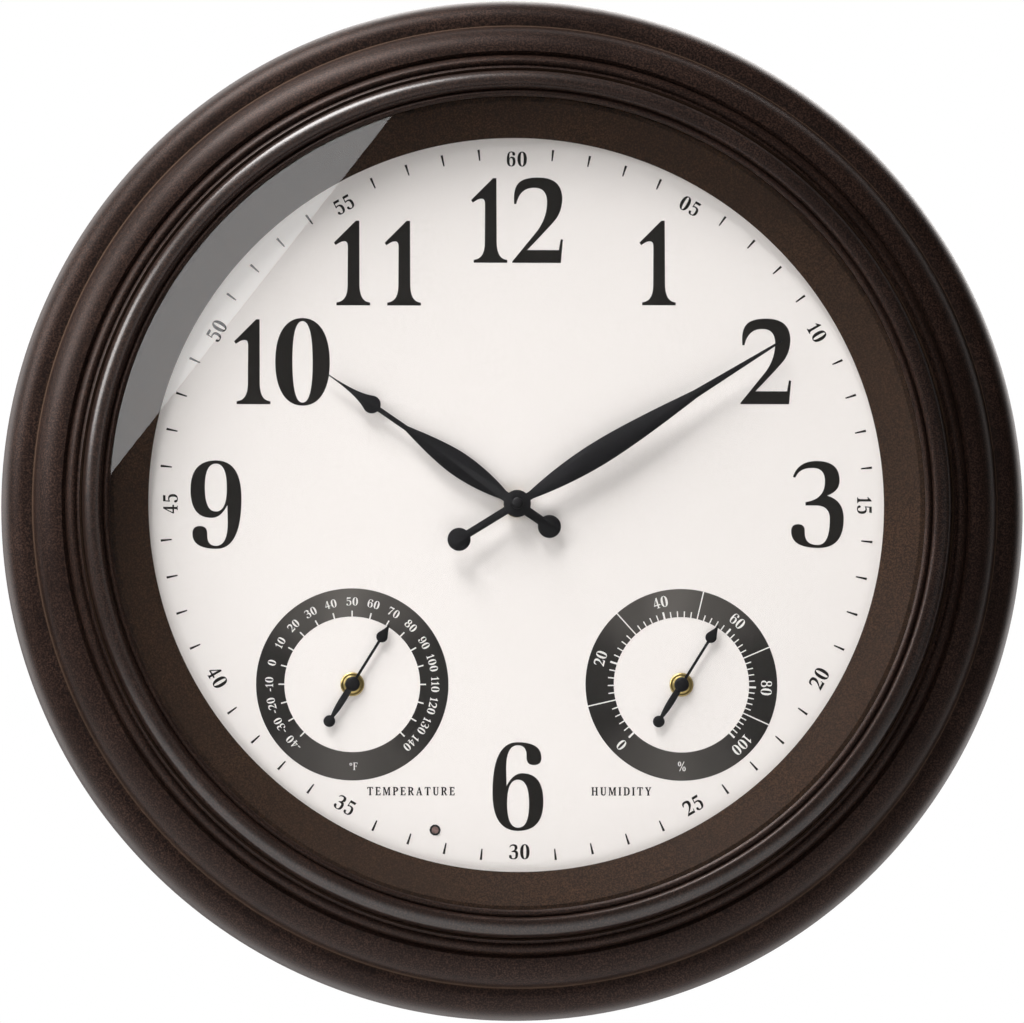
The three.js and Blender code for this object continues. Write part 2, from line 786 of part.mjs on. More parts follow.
function sensorSleeve() {
  const bore = sensorRadius + seatGap;
  const outer = bore + sleeveWall;
  const flange = outer + sleeveFlange;
  const shoulder = sleeveLength - dialThickness - 2 * seatGap;
  return revolve([
    [bore, 0], [outer, 0], [outer, shoulder - sleeveWall],
    [flange, shoulder - sleeveWall], [flange, shoulder],
    [outer, shoulder], [outer, sleeveLength], [bore, sleeveLength],
  ], smallFacets);
}

function lampLeadPlace() {
  return [-sensorOffset, -Math.sqrt(lampLeadRadius ** 2 - sensorOffset ** 2)];
}

// A wire through a row of places, each [x, ahead, z]
function lead(points) {
  const curve = new THREE.CatmullRomCurve3(points.map(([x, ahead, z]) => new THREE.Vector3(x, -ahead, z)));
  const section = new THREE.Shape(circle(leadRadius, leadFacets).map(([x, y]) => new THREE.Vector2(x, y)));
  return new THREE.ExtrudeGeometry(section, { steps: leadSteps, extrudePath: curve });
}

// Movement housing

function movementCase() {
  const depth = lidBack - seatGap - movementBack;
  const inner = movementWidth - 2 * movementWall;
  const split = movementBaySplit();
  const gearTall = movementWidth / 2 - movementWall - split;
  const gearRoom = plate(rectangle(inner, gearTall, 0, [0, split + gearTall / 2]), depth);
  const bayRoom = block(inner, bayTall, depth - movementWall + overrun);
  const bearings = [[0, 0], thirdPlace, secondPlace, firstPlace, rotorPlace].map((place) =>
    shifted(disc(pivotRadius + runGap, overrun, tinyFacets), place, movementWall - pivotLength));
  return cut(
    plate(rectangle(movementWidth, movementWidth, movementCorner), depth),
    shifted(gearRoom, [0, 0], movementWall),
    shifted(bayRoom, [0, -aaDrop], -overrun),
    ...bearings,
    shifted(disc(knobShaftRadius + runGap, overrun * 2), knobPlace, -overrun),
  );
}

function movementBaySplit() {
  return -aaDrop + bayTall / 2 + movementWall;
}

function movementLid() {
  const bush = disc(bushRadius, bushFront - lidBack, roundFacets);
  const bore = disc(bushBore, bushFront - lidBack + 2 * overrun, roundFacets);
  const sheet = plate(rectangle(movementWidth, movementWidth, movementCorner), movementWall);
  return cut(joined(sheet, bush), shifted(bore, [0, 0], -overrun));
}

function trainPlate() {
  const inner = movementWidth - 2 * (movementWall + seatGap);
  const foot = movementBaySplit() + seatGap;
  const tall = movementWidth / 2 - movementWall - seatGap - foot;
  const pivots = [thirdPlace, secondPlace, firstPlace, rotorPlace].map((place) =>
    circle(pivotRadius + runGap, tinyFacets, place));
  const sheet = plate(rectangle(inner, tall, 0, [0, foot + tall / 2]), plateThickness, [
    circle(minuteArborRadius + runGap, smallFacets),
    circle(knobShaftRadius + runGap, smallFacets, knobPlace), ...pivots,
  ]);
  const post = disc(postPinRadius, lidBack - seatGap - plateBack);
  return joined(sheet, shifted(post, motionPlace, 0));
}

function hexNut() {
  const hexagon = circle(nutFlats / Math.sqrt(3), nutSides);
  return plate(hexagon, nutThickness, [circle(bushRadius + seatGap, smallFacets)]);
}

// Toothed wheels: one outline for wheels and pinions, with straight flanks

function pitchRadius(teeth, module) {
  return teeth * module / 2;
}

function toothed(teeth, module, phase) {
  const pitch = pitchRadius(teeth, module);
  const root = pitch - rootShare * module;
  const crest = pitch + tipShare * module;
  const step = 1 / teeth;
  return Array.from({ length: teeth }, (_, i) => phase + i * step).flatMap((share) => [
    placeFrom([0, 0], root, share - step / 2),
    placeFrom([0, 0], crest, share),
  ]);
}

// The turn share at which the follower's gap meets the leader's tooth, seen along the line between them
function meshed(leaderTeeth, leaderPhase, followerTeeth, direction) {
  const offset = (direction - leaderPhase) * leaderTeeth;
  return direction + 1 / 2 - (1 / 2 - offset) / followerTeeth;
}

function centreDistance(teethA, teethB, module) {
  return (teethA + teethB) * module / 2;
}

const hubPlace = [0, 0];
const thirdPlace = placeFrom(
  hubPlace, centreDistance(centreTeeth, pinionTeeth, centreModule), thirdTurnShare);
const secondPlace = placeFrom(
  thirdPlace, centreDistance(thirdTeeth, pinionTeeth, thirdModule), secondTurnShare);
const firstPlace = placeFrom(
  secondPlace, centreDistance(secondTeeth, pinionTeeth, secondModule), firstTurnShare);
const rotorPlace = placeFrom(
  firstPlace, centreDistance(firstTeeth, pinionTeeth, firstModule), rotorTurnShare);
const motionPlace = placeFrom(
  hubPlace, centreDistance(cannonTeeth, motionTeeth, cannonModule), motionTurnShare);
const knobPlace = placeFrom(
  motionPlace, centreDistance(motionTeeth, cannonTeeth, cannonModule), knobTurnShare);

// A wheel and its pinion on one arbor, whose pivots turn in the floor and in the plate
function trainWheel(wheel, pinion) {
  const back = caseFloor - pivotLength + seatGap;
  const arbor = disc(arborRadius, plateBack - seatGap - caseFloor - seatGap, tinyFacets);
  const pivots = disc(pivotRadius, plateFront - back - seatGap, tinyFacets);
  const parts = [shifted(arbor, [0, 0], caseFloor + seatGap), shifted(pivots, [0, 0], back)];
  if (wheel) {
    const disk = plate(toothed(wheel.teeth, wheel.module, wheel.phase), wheelThickness);
    parts.push(shifted(disk, [0, 0], wheel.level));
  }
  const leafBack = pinion.level - (leafThickness - wheelThickness) / 2;
  const leaf = plate(toothed(pinionTeeth, pinion.module, pinion.phase), leafThickness);
  return joined(...parts, shifted(leaf, [0, 0], leafBack));
}

function goingTrain() {
  const thirdPinion = meshed(centreTeeth, 0, pinionTeeth, thirdTurnShare);
  const secondPinion = meshed(thirdTeeth, 0, pinionTeeth, secondTurnShare);
  const firstPinion = meshed(secondTeeth, 0, pinionTeeth, firstTurnShare);
  const rotorPinion = meshed(firstTeeth, 0, pinionTeeth, rotorTurnShare);
  const third = trainWheel(
    { teeth: thirdTeeth, module: thirdModule, phase: 0, level: thirdLevel },
    { module: centreModule, phase: thirdPinion, level: centreLevel },
  );
  const second = trainWheel(
    { teeth: secondTeeth, module: secondModule, phase: 0, level: secondLevel },
    { module: thirdModule, phase: secondPinion, level: thirdLevel },
  );
  const first = trainWheel(
    { teeth: firstTeeth, module: firstModule, phase: 0, level: firstLevel },
    { module: secondModule, phase: firstPinion, level: secondLevel },
  );
  const shaft = trainWheel(null, { module: firstModule, phase: rotorPinion, level: firstLevel });
  const magnet = shifted(disc(rotorRadius, rotorHeight), [0, 0], caseFloor + levelPitch / 2);
  return [
    piece('third_wheel', third, wheelPlastic, thirdPlace),
    piece('second_wheel', second, wheelPlastic, secondPlace),
    piece('first_wheel', first, wheelPlastic, firstPlace),
    piece('motor_rotor', joined(shaft, magnet), steel, rotorPlace),
    piece('centre_wheel', centreWheel(), brass, hubPlace, centreLevel),
  ];
}

function centreWheel() {
  const bore = circle(minuteArborRadius + runGap, smallFacets);
  return plate(toothed(centreTeeth, centreModule, 0), wheelThickness, [bore]);
}

function minuteArbor() {
  const back = caseFloor - pivotLength + seatGap;
  const tipBack = minuteHandBack + bossThickness;
  const rod = revolve([
    [0, back], [pivotRadius, back], [pivotRadius, caseFloor + seatGap],
    [minuteArborRadius, caseFloor + seatGap], [minuteArborRadius, tipBack], [arborTipRadius, tipBack],
    [arborTipRadius, handNutBack + handNutHeight / 2],
    [0, handNutBack + handNutHeight / 2],
  ], smallFacets);
  const collar = disc(minuteArborRadius + 2 * runGap + pipeWall, wheelThickness);
  const cannon = plate(toothed(cannonTeeth, cannonModule, motionTurnShare), leafThickness);
  return joined(
    rod,
    shifted(collar, [0, 0], centreLevel - wheelThickness - runGap),
    shifted(cannon, [0, 0], motionLevel - runGap),
  );
}

function motionWheel() {
  const phase = meshed(cannonTeeth, motionTurnShare, motionTeeth, motionTurnShare);
  const bore = circle(postPinRadius + runGap, smallFacets);
  const wheel = plate(toothed(motionTeeth, cannonModule, phase), wheelThickness, [bore]);
  const leaf = plate(toothed(cannonTeeth, hourModule, 0), hourLevel + leafThickness - motionLevel, [bore]);
  return joined(wheel, leaf);
}

function hourWheel() {
  const bore = minuteArborRadius + runGap;
  const pipe = bore + pipeWall;
  const phase = meshed(cannonTeeth, 0, hourTeeth, motionTurnShare + 1 / 2);
  const wheel = plate(toothed(hourTeeth, hourModule, phase), wheelThickness, [circle(bore, smallFacets)]);
  const reach = hourHandBack + handThickness + seatGap - hourLevel;
  const tube = plate(circle(pipe, smallFacets), reach, [circle(bore, smallFacets)]);
  return joined(wheel, tube);
}

function settingKnob() {
  const motionPhase = meshed(cannonTeeth, motionTurnShare, motionTeeth, motionTurnShare);
  const phase = meshed(motionTeeth, motionPhase, cannonTeeth, knobTurnShare);
  const head = cut(disc(knobRadius, knobThickness, roundFacets),
    ...Array.from({ length: knobNotchCount }, (_, i) => {
      const notch = disc(knobNotchRadius, knobThickness + 2 * overrun, tinyFacets);
      return shifted(notch, placeFrom([0, 0], knobRadius, i / knobNotchCount), -overrun);
    }));
  const back = movementBack - seatGap - knobThickness;
  const shaft = disc(knobShaftRadius, lidBack - seatGap - back);
  const gear = plate(toothed(cannonTeeth, cannonModule, phase), wheelThickness);
  return joined(head, shaft, shifted(gear, [0, 0], motionLevel - back));
}

// Motor

function stator() {
  const outline = [
    [statorLeft, statorFoot], [statorRight, statorFoot], [statorRight, statorTop],
    [statorRight - statorPost, statorTop],
    [statorRight - statorPost, statorFoot + statorBar], [statorLobe, statorFoot + statorBar],
    [statorLobe, statorTop], [statorLeft, statorTop],
  ];
  return plate(outline, statorThickness, [circle(rotorRadius + rotorGap, smallFacets, rotorPlace)]);
}

function motorPieces() {
  const width = statorRight - statorLeft;
  const middle = (statorLobe + statorRight - statorPost) / 2;
  const coreBack = statorBack() + statorThickness + seatGap;
  const coreAt = [(statorLeft + statorRight) / 2, statorTop - coreTall / 2];
  const hole = block(coilLength + 2 * overrun, coreTall + 2 * coilPlay, coreThickness + 2 * coilPlay);
  const coil = cut(block(coilLength, coilTall, coilDepth),
    shifted(hole, [0, 0], (coilDepth - coreThickness) / 2 - coilPlay));
  return [
    piece('motor_stator', stator(), steel, hubPlace, statorBack()),
    piece('motor_core', block(width, coreTall, coreThickness), steel, coreAt, coreBack),
    piece('motor_coil', coil, copperWire, [middle, coreAt[1]], coreBack - (coilDepth - coreThickness) / 2),
  ];
}

function statorBack() {
  return caseFloor + levelPitch;
}

function aaPieces() {
  const back = movementBack + seatGap;
  const ahead = lidBack - seatGap - movementWall - seatGap - aaRadius;
  const mesh = piece('movement_cell',
    cell(aaRadius, aaLength, aaNubRadius, aaNubHeight, aaNubHeight, smallFacets),
    cellSkin, [0, -aaDrop], ahead);
  mesh.rotation.z = -Math.PI / 2;
  const end = movementWidth / 2 - movementWall - seatGap;
  const leaf = () => plate(rectangle(aaContactThickness, aaContactTall), 2 * aaRadius - 2 * seatGap);
  return [
    mesh,
    piece('movement_contact_left', leaf(), steel, [aaContactThickness / 2 - end, -aaDrop], back),
    piece('movement_contact_right', leaf(), steel, [end - aaContactThickness / 2, -aaDrop], back),
  ];
}

function movement() {
  const group = new THREE.Group();
  const circuitAt = [circuitWidth / 2 + movementWall + seatGap - movementWidth / 2, 0];
  group.add(
    piece('movement_case', movementCase(), blackPlastic, hubPlace, movementBack),
    piece('movement_lid', movementLid(), blackPlastic, hubPlace, lidBack),
    piece('train_plate', trainPlate(), whitePlastic, hubPlace, plateBack),
    piece('movement_board', block(circuitWidth, circuitTall, circuitThickness), boardGreen,
      circuitAt, caseFloor + seatGap),
    piece('shaft_gasket', ringPlate(washerRadius, washerThickness), blackRubber, hubPlace, washerBack),
    piece('shaft_washer', ringPlate(plainWasherRadius, plainWasherThickness), brass,
      hubPlace, dialFront + seatGap),
    piece('shaft_nut', hexNut(), brass, hubPlace, dialFront + plainWasherThickness + 2 * seatGap),
    piece('motion_wheel', motionWheel(), wheelPlastic, motionPlace, motionLevel),
    piece('hour_wheel', hourWheel(), wheelPlastic, hubPlace, hourLevel),
    piece('minute_arbor', minuteArbor(), brass),
    piece('setting_knob', settingKnob(), whitePlastic, knobPlace, movementBack - seatGap - knobThickness),
    ...goingTrain(), ...motorPieces(), ...aaPieces(),
  );
  return group;
}

function ringPlate(radius, thickness) {
  return plate(circle(radius, roundFacets), thickness, [circle(bushRadius + seatGap, smallFacets)]);
}

// Hands, drawn pointing at twelve

function ballOutline(hand, steps) {
  return Array.from({ length: steps + 1 }, (_, i) =>
    placeFrom([0, -hand.tail], hand.ball, -1 / 4 + i / steps * 3 / 8));
}

function leafHalf(hand, top, topWidth) {
  const middle = [hand.leafWidth / 2, hand.leaf];
  const swell = [hand.leafWidth / 2, (hand.root + hand.leaf) / 2];
  const lower = bend([hand.rootWidth / 2, hand.root], swell, middle);
  const upper = bend(middle, [hand.leafWidth / 2, (2 * hand.leaf + top) / 3], [topWidth / 2, top]);
  return [...lower, ...upper.slice(1)];
}

function handPlate(outline, hand, bore) {
  const boss = disc(hand.boss, bossThickness, roundFacets);
  const hole = disc(bore, bossThickness + 2 * overrun);
  return cut(joined(plate(outline, handThickness), boss), shifted(hole, [0, 0], -overrun));
}

function minuteHandShape() {
  const hand = minuteHand;
  const half = [
    ...ballOutline(hand, 5), [hand.tailWidth / 2, -hand.tail / 2],
    ...leafHalf(hand, hand.shoulder, hand.shoulderWidth),
    [hand.tipWidth / 2, hand.tip],
  ];
  return handPlate(mirrored(half), hand, minuteArborRadius + seatGap);
}

function dropHalf(hand) {
  const round = dropShares.map((share) => placeFrom([0, hand.drop], hand.dropRadius, share));
  return [...round, ...bend(round.at(-1), [0, hand.drop + 2 * hand.dropRadius], [0, hand.tip]).slice(1)];
}

function hourHandShape() {
  const hand = hourHand;
  const half = [
    ...ballOutline(hand, 5), [hand.tailWidth / 2, -hand.tail / 2],
    ...leafHalf(hand, hand.neck, hand.neckWidth),
    [hand.neckWidth / 2, hand.neckTop], ...dropHalf(hand),
  ];
  return handPlate(mirrored(half), hand, minuteArborRadius + runGap + pipeWall + seatGap);
}

function handNut() {
  const bore = arborTipRadius + seatGap;
  const inner = handNutHeight / 2 + seatGap;
  return revolve([
    [bore, 0], [handNutRadius, 0], [handNutRadius, handNutHeight / 2], [handNutRadius / 2, handNutHeight],
    [0, handNutHeight], [0, inner], [bore, inner],
  ], smallFacets);
}

function hands() {
  const hour = new THREE.Group();
  hour.add(piece('hour_hand', hourHandShape(), handPaint, hubPlace, hourHandBack));
  hour.rotation.y = angleOf(hourTurnShare);
  const minute = new THREE.Group();
  minute.add(piece('minute_hand', minuteHandShape(), handPaint, hubPlace, minuteHandBack));
  minute.rotation.y = angleOf(minuteTurnShare);
  return [hour, minute, piece('hand_nut', handNut(), handPaint, hubPlace, handNutBack)];
}

// Thermometer and hygrometer, which share their shapes

function gaugeCup() {
  const inner = cupRadius - cupWall;
  const rim = cupRadius + cupRim;
  const bore = gaugeStaffRadius + runGap;
  return revolve([
    [bore, 0], [cupRadius, 0], [cupRadius, cupDepth - cupWall], [rim, cupDepth - cupWall], [rim, cupDepth],
    [inner, cupDepth], [inner, cupWall], [bore, cupWall],
  ], gaugeFacets);
}

function gaugeCoil() {
  const steps = coilTurns * coilStepsPerTurn;
  const edge = (width) => Array.from({ length: steps + 1 }, (_, i) => {
    const radius = coilInnerRadius + (coilOuterRadius - coilInnerRadius) * i / steps;
    return placeFrom([0, 0], radius + width, i / coilStepsPerTurn);
  });
  return plate([...edge(coilStrip), ...edge(0).reverse()], coilStripWidth);
}

function gaugeBush() {
  const bore = gaugeStaffRadius + runGap;
  const barrel = dialThickness + 2 * seatGap;
  return revolve([
    [bore, 0], [gaugeBarrelRadius, 0], [gaugeBarrelRadius, barrel], [gaugeBushRadius, barrel],
    [gaugeBushRadius, barrel + gaugeBushHeight / 2],
    [gaugeBushRadius - gaugeBushHeight, barrel + gaugeBushHeight],
    [bore, barrel + gaugeBushHeight],
  ], gaugeFacets);
}

function gaugeStaff() {
  const hubBack = coilAhead();
  return revolve([
    [0, 0], [gaugeStaffRadius, 0], [gaugeStaffRadius, hubBack], [coilInnerRadius - seatGap, hubBack],
    [coilInnerRadius - seatGap, hubBack + coilStripWidth], [gaugeStaffRadius, hubBack + coilStripWidth],
    [gaugeStaffRadius, pointerAhead() + gaugePointerThickness], [0, pointerAhead() + gaugePointerThickness],
  ], smallFacets);
}

function coilAhead() {
  return cupWall + (cupDepth - cupWall - coilStripWidth) / 2;
}

function pointerAhead() {
  return cupDepth + seatGap + dialThickness + seatGap + gaugeBushHeight + gaugePointerGap;
}

function gaugePointer() {
  const hand = gaugeHand;
  const stem = hand.stemWidth / 2;
  const half = [
    ...ballOutline(hand, 4), [hand.tailWidth / 2, 0], [stem, gaugeBossRadius],
    [stem, hand.drop - hand.dropRadius], ...dropHalf(hand),
  ];
  const boss = revolve([
    [0, 0], [gaugeBossRadius, 0], [gaugeBossRadius, gaugeBossHeight / 2],
    [gaugeBossRadius / 2, gaugeBossHeight],
    [0, gaugeBossHeight],
  ], smallFacets);
  const bore = disc(gaugeStaffRadius + runGap, gaugePointerThickness + seatGap + overrun);
  return cut(joined(plate(mirrored(half), gaugePointerThickness), boss), shifted(bore, [0, 0], -overrun));
}

function gauge(name, side) {
  const group = new THREE.Group();
  const cupBack = dialBack - seatGap - cupDepth;
  group.position.set(side * gaugeOffset, -cupBack, -gaugeDrop);
  const turning = new THREE.Group();
  turning.rotation.y = angleOf(gaugeTurnShare);
  turning.add(
    piece(`${name}_staff`, gaugeStaff(), brass),
    piece(`${name}_pointer`, gaugePointer(), handPaint, hubPlace, pointerAhead()),
  );
  group.add(
    piece(`${name}_cup`, gaugeCup(), greyPlastic),
    piece(`${name}_coil`, gaugeCoil(), bimetal, hubPlace, coilAhead()),
    piece(`${name}_bush`, gaugeBush(), brass, hubPlace, cupDepth),
    turning,
  );
  return group;
}

// Assembly

function rearPieces() {
  const board = [-sensorOffset, boardMiddle()];
  const trayEdge = [trayInnerWidth / 2 - contactRoom, -trayDrop - trayInnerTall / 2 - trayWall];
  const leadAhead = boardAhead + boardThickness / 2;
  const boardEdge = -sensorOffset + boardWidth / 2 + leadRadius + seatGap;
  const boardFoot = boardMiddle() - boardTall / 2 - leadRadius - seatGap;
  const [lampX, lampZ] = lampLeadPlace();
  const slider = [switchPlace()[0] - sliderTravel / 2, switchPlace()[1]];
  return [
    piece('rear_cover', rearCover(), blackPlastic, hubPlace, coverRecess),
    piece('keyhole_hanger', hangerPlate(), steel, [0, hangerHeight], coverRecess - seatGap - hangerThickness),
    piece('battery_tray', batteryTray(), blackPlastic, [0, -trayDrop], trayBack),
    ...batteryContacts(), ...batteryCells(),
    piece('battery_door', batteryDoor(), blackPlastic, hingePlace(), doorBack),
    piece('switch_body', switchBody(), blackPlastic, switchPlace(), coverFront + seatGap),
    piece('switch_slider', switchSlider(), whitePlastic, slider, coverRecess - sliderProud),
    piece('control_board', controlBoard(), boardGreen, board, boardAhead),
    piece('light_sensor', sensorBody(), sensorFace, [-sensorOffset, -sensorDrop], sensorBack()),
    piece('sensor_sleeve', sensorSleeve(), blackPlastic,
      [-sensorOffset, -sensorDrop], dialFront + seatGap - sleeveLength),
    piece('battery_lead', lead([
      [trayEdge[0], leadAhead, trayEdge[1] - leadRadius - seatGap],
      [(trayEdge[0] + boardEdge) / 2, leadAhead, (trayEdge[1] + board[1]) / 2 - leadSag],
      [boardEdge, leadAhead, board[1]],
    ]), leadSkin),
    piece('lamp_lead', lead([
      [lampX, leadAhead, boardFoot], [lampX, leadAhead + leadSag / 2, (boardFoot + lampZ) / 2 - leadSag / 3],
      [lampX, dialBack - leadSag, lampZ], [lampX, dialFront + lampLeadFront, lampZ],
    ]), leadSkin),
  ];
}

function clock() {
  const group = new THREE.Group();
  group.position.y = frameDepth / 2;
  group.add(
    piece('outer_frame', revolve(frameOutline()), bronzePaint),
    piece('glass_gasket', revolve(gasketOutline()), blackRubber, hubPlace, gasketBack),
    piece('glass_lens', disc(glassRadius, glassThickness, ringFacets), clearGlass, hubPlace, glassBack),
    piece('lamp_shade', revolve(shadeOutline()), brownPaint),
    piece('lamp_strip', lampStrip(), boardWhite, hubPlace, dialFront + stripRise),
    piece('dial_plate', dialPlate(), dialPaint, hubPlace, dialBack),
    ...rearPieces(), movement(), ...hands(), gauge('thermometer', -1), gauge('hygrometer', 1),
  );
  return group;
}

export default clock();
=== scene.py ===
import math
import bpy
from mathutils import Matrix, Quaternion, Vector


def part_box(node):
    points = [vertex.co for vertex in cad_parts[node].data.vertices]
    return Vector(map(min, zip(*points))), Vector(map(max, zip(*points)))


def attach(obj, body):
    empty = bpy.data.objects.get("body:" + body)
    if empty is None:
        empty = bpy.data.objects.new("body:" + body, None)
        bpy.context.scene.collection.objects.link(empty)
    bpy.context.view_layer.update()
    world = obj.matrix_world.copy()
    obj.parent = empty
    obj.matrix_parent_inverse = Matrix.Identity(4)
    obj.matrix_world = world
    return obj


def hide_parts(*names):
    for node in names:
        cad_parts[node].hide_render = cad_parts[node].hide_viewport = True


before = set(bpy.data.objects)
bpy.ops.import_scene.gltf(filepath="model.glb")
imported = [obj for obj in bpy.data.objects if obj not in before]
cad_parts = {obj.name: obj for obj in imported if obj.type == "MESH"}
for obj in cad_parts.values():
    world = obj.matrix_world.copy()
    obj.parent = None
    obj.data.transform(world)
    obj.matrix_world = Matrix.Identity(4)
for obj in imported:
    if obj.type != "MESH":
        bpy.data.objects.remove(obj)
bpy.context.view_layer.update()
mm = 0.001
wallDepth = 32.4   # the wall plane lies this far behind the object's own origin


# Small helpers: places, curves and finished meshes

def placed(x, z, ahead):
    return Vector((x * mm, (wallDepth - ahead) * mm, z * mm))


def onlySelect(piece):
    bpy.ops.object.select_all(action="DESELECT")
    piece.select_set(True)
    bpy.context.view_layer.objects.active = piece


def around(distance, degrees, centre=(0, 0)):
    angle = math.radians(degrees)   # clockwise from twelve
    return (centre[0] + distance * math.sin(angle), centre[1] + distance * math.cos(angle))


def bend(start, control, end, steps):
    points = []
    for i in range(1, steps + 1):
        t = i / steps
        near, pull, far = (1 - t) ** 2, 2 * t * (1 - t), t * t
        points.append(tuple(near * a + pull * b + far * c for a, b, c in zip(start, control, end)))
    return points


def mirrored(half):
    return half + [(-x, z) for x, z in reversed(half) if x > 0.001]


def settle(piece, place=(0, 0), turn=0):
    onlySelect(piece)
    piece.rotation_euler = (0, math.radians(turn), 0)
    piece.location = (place[0] * mm, 0, place[1] * mm)
    bpy.ops.object.transform_apply(location=True, rotation=True, scale=True)
    return piece


def smoothed(piece, degrees=32):
    onlySelect(piece)
    bpy.ops.object.shade_smooth_by_angle(angle=math.radians(degrees))
    return piece


def softEdge(piece, width, segments=2, degrees=35):
    onlySelect(piece)
    bevel = piece.modifiers.new("soft edge", "BEVEL")
    bevel.width = width * mm
    bevel.segments = segments
    bevel.limit_method = "ANGLE"
    bevel.angle_limit = math.radians(degrees)
    bpy.ops.object.modifier_apply(modifier=bevel.name)
    return piece


def loopOf(name, places, fill):
    # a circle with one corner for each place, pulled to those places
    bpy.ops.object.select_all(action="DESELECT")
    bpy.ops.mesh.primitive_circle_add(vertices=len(places), radius=1, fill_type=fill, location=(0, 0, 0))
    piece = bpy.context.object
    piece.name = piece.data.name = name
    for vertex, place in zip(piece.data.vertices, places):
        vertex.co = place
    bpy.ops.object.mode_set(mode="EDIT")
    bpy.ops.mesh.select_all(action="SELECT")
    return piece


def spun(name, outline, steps=128, crease=32):
    # the outline is a closed loop of (radius, ahead) and is spun about the clock's own axis
    piece = loopOf(name, [placed(radius, 0, ahead) for radius, ahead in outline], "NOTHING")
    bpy.ops.mesh.spin(steps=steps, angle=2 * math.pi, center=(0, 0, 0), axis=(0, 1, 0))
    bpy.ops.mesh.select_all(action="SELECT")
    bpy.ops.mesh.remove_doubles(threshold=0.000002)
    bpy.ops.mesh.dissolve_degenerate(threshold=0.000001)
    bpy.ops.mesh.normals_make_consistent(inside=False)
    bpy.ops.object.mode_set(mode="OBJECT")
    return smoothed(piece, crease)


def sheet(name, outline, back, thickness):
    # a flat plate from a closed loop of (x, z), lying across the clock's axis
    piece = loopOf(name, [placed(x, z, back) for x, z in outline], "NGON")
    bpy.ops.mesh.extrude_region_move(TRANSFORM_OT_translate={"value": (0, -thickness * mm, 0)})
    bpy.ops.mesh.select_all(action="SELECT")
    bpy.ops.mesh.normals_make_consistent(inside=False)
    bpy.ops.object.mode_set(mode="OBJECT")
    return piece


def combined(piece, other, operation):
    # joins the other piece on, or cuts it out, and takes it away
    onlySelect(piece)
    change = piece.modifiers.new("combine", "BOOLEAN")
    change.operation = operation
    change.solver = "EXACT"
    change.object = other
    bpy.ops.object.modifier_apply(modifier=change.name)
    bpy.data.objects.remove(other)
    return piece


def bored(piece, radius, facets=48):
    bpy.ops.object.select_all(action="DESELECT")
    bpy.ops.mesh.primitive_cylinder_add(vertices=facets, radius=radius * mm, depth=0.2, location=(0, 0, 0),
                                        rotation=(math.pi / 2, 0, 0))
    return combined(piece, bpy.context.object, "DIFFERENCE")


def dressed(piece, finish, node=None, body="housing"):
    # its finish, the body that it rides on, and the CAD piece that it stands for, which is hidden
    piece.data.materials.clear()
    piece.data.materials.append(finishes[finish])
    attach(piece, body)
    if node:
        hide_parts(node)
    return piece


# Small helpers: shader nodes

def feed(tree, socket, value):
    if isinstance(value, (int, float, tuple)):
        socket.default_value = value
    else:
        tree.links.new(value, socket)


def maths(tree, operation, *values):
    node = tree.nodes.new("ShaderNodeMath")
    node.operation = operation
    for socket, value in zip(node.inputs, values):
        feed(tree, socket, value)
    return node.outputs[0]


def ranged(tree, value, low, high, start=0, end=1, kind="SMOOTHSTEP"):
    node = tree.nodes.new("ShaderNodeMapRange")
    node.interpolation_type = kind
    for label, number in zip(("From Min", "From Max", "To Min", "To Max"), (low, high, start, end)):
        node.inputs[label].default_value = number
    tree.links.new(value, node.inputs["Value"])
    return node.outputs[0]


def mixedColour(tree, share, first, second):
    node = tree.nodes.new("ShaderNodeMix")
    node.data_type = "RGBA"
    for socket, value in ((node.inputs["Factor"], share), (node.inputs[6], first), (node.inputs[7], second)):
        feed(tree, socket, value)
    return node.outputs[2]


def newGroup(name, inputs, outputs):
    group = bpy.data.node_groups.new(name, "ShaderNodeTree")
    for label, kind, value in inputs:
        socket = group.interface.new_socket(name=label, in_out="INPUT", socket_type=kind)
        socket.default_value = value
    for label, kind in outputs:
        group.interface.new_socket(name=label, in_out="OUTPUT", socket_type=kind)
    return group, group.nodes.new("NodeGroupInput").outputs, group.nodes.new("NodeGroupOutput").inputs


def useGroup(tree, group, values):
    node = tree.nodes.new("ShaderNodeGroup")
    node.node_tree = group
    for label, value in values.items():
        feed(tree, node.inputs[label], value)
    return node


def placeParts(tree, kind="Object"):
    # X, Y and Z of the shaded place, or of the ray where the kind is Generated and the tree is the world's
    coordinates, parts = tree.nodes.new("ShaderNodeTexCoord"), tree.nodes.new("ShaderNodeSeparateXYZ")
    tree.links.new(coordinates.outputs[kind], parts.inputs[0])
    return parts.outputs


def newMaterial(name):
    material = bpy.data.materials.new(name)
    material.use_nodes = True
    return material, material.node_tree, material.node_tree.nodes["Principled BSDF"]


# Camera, floor and light

view = {
    "distance": 7.0, "left": 3.7, "below": 5.2, "rimAhead": 9, "acrossPicture": 559.8,
    "shiftX": -0.0003, "shiftY": -0.001, "roll": -0.2, "sensor": 36,
}


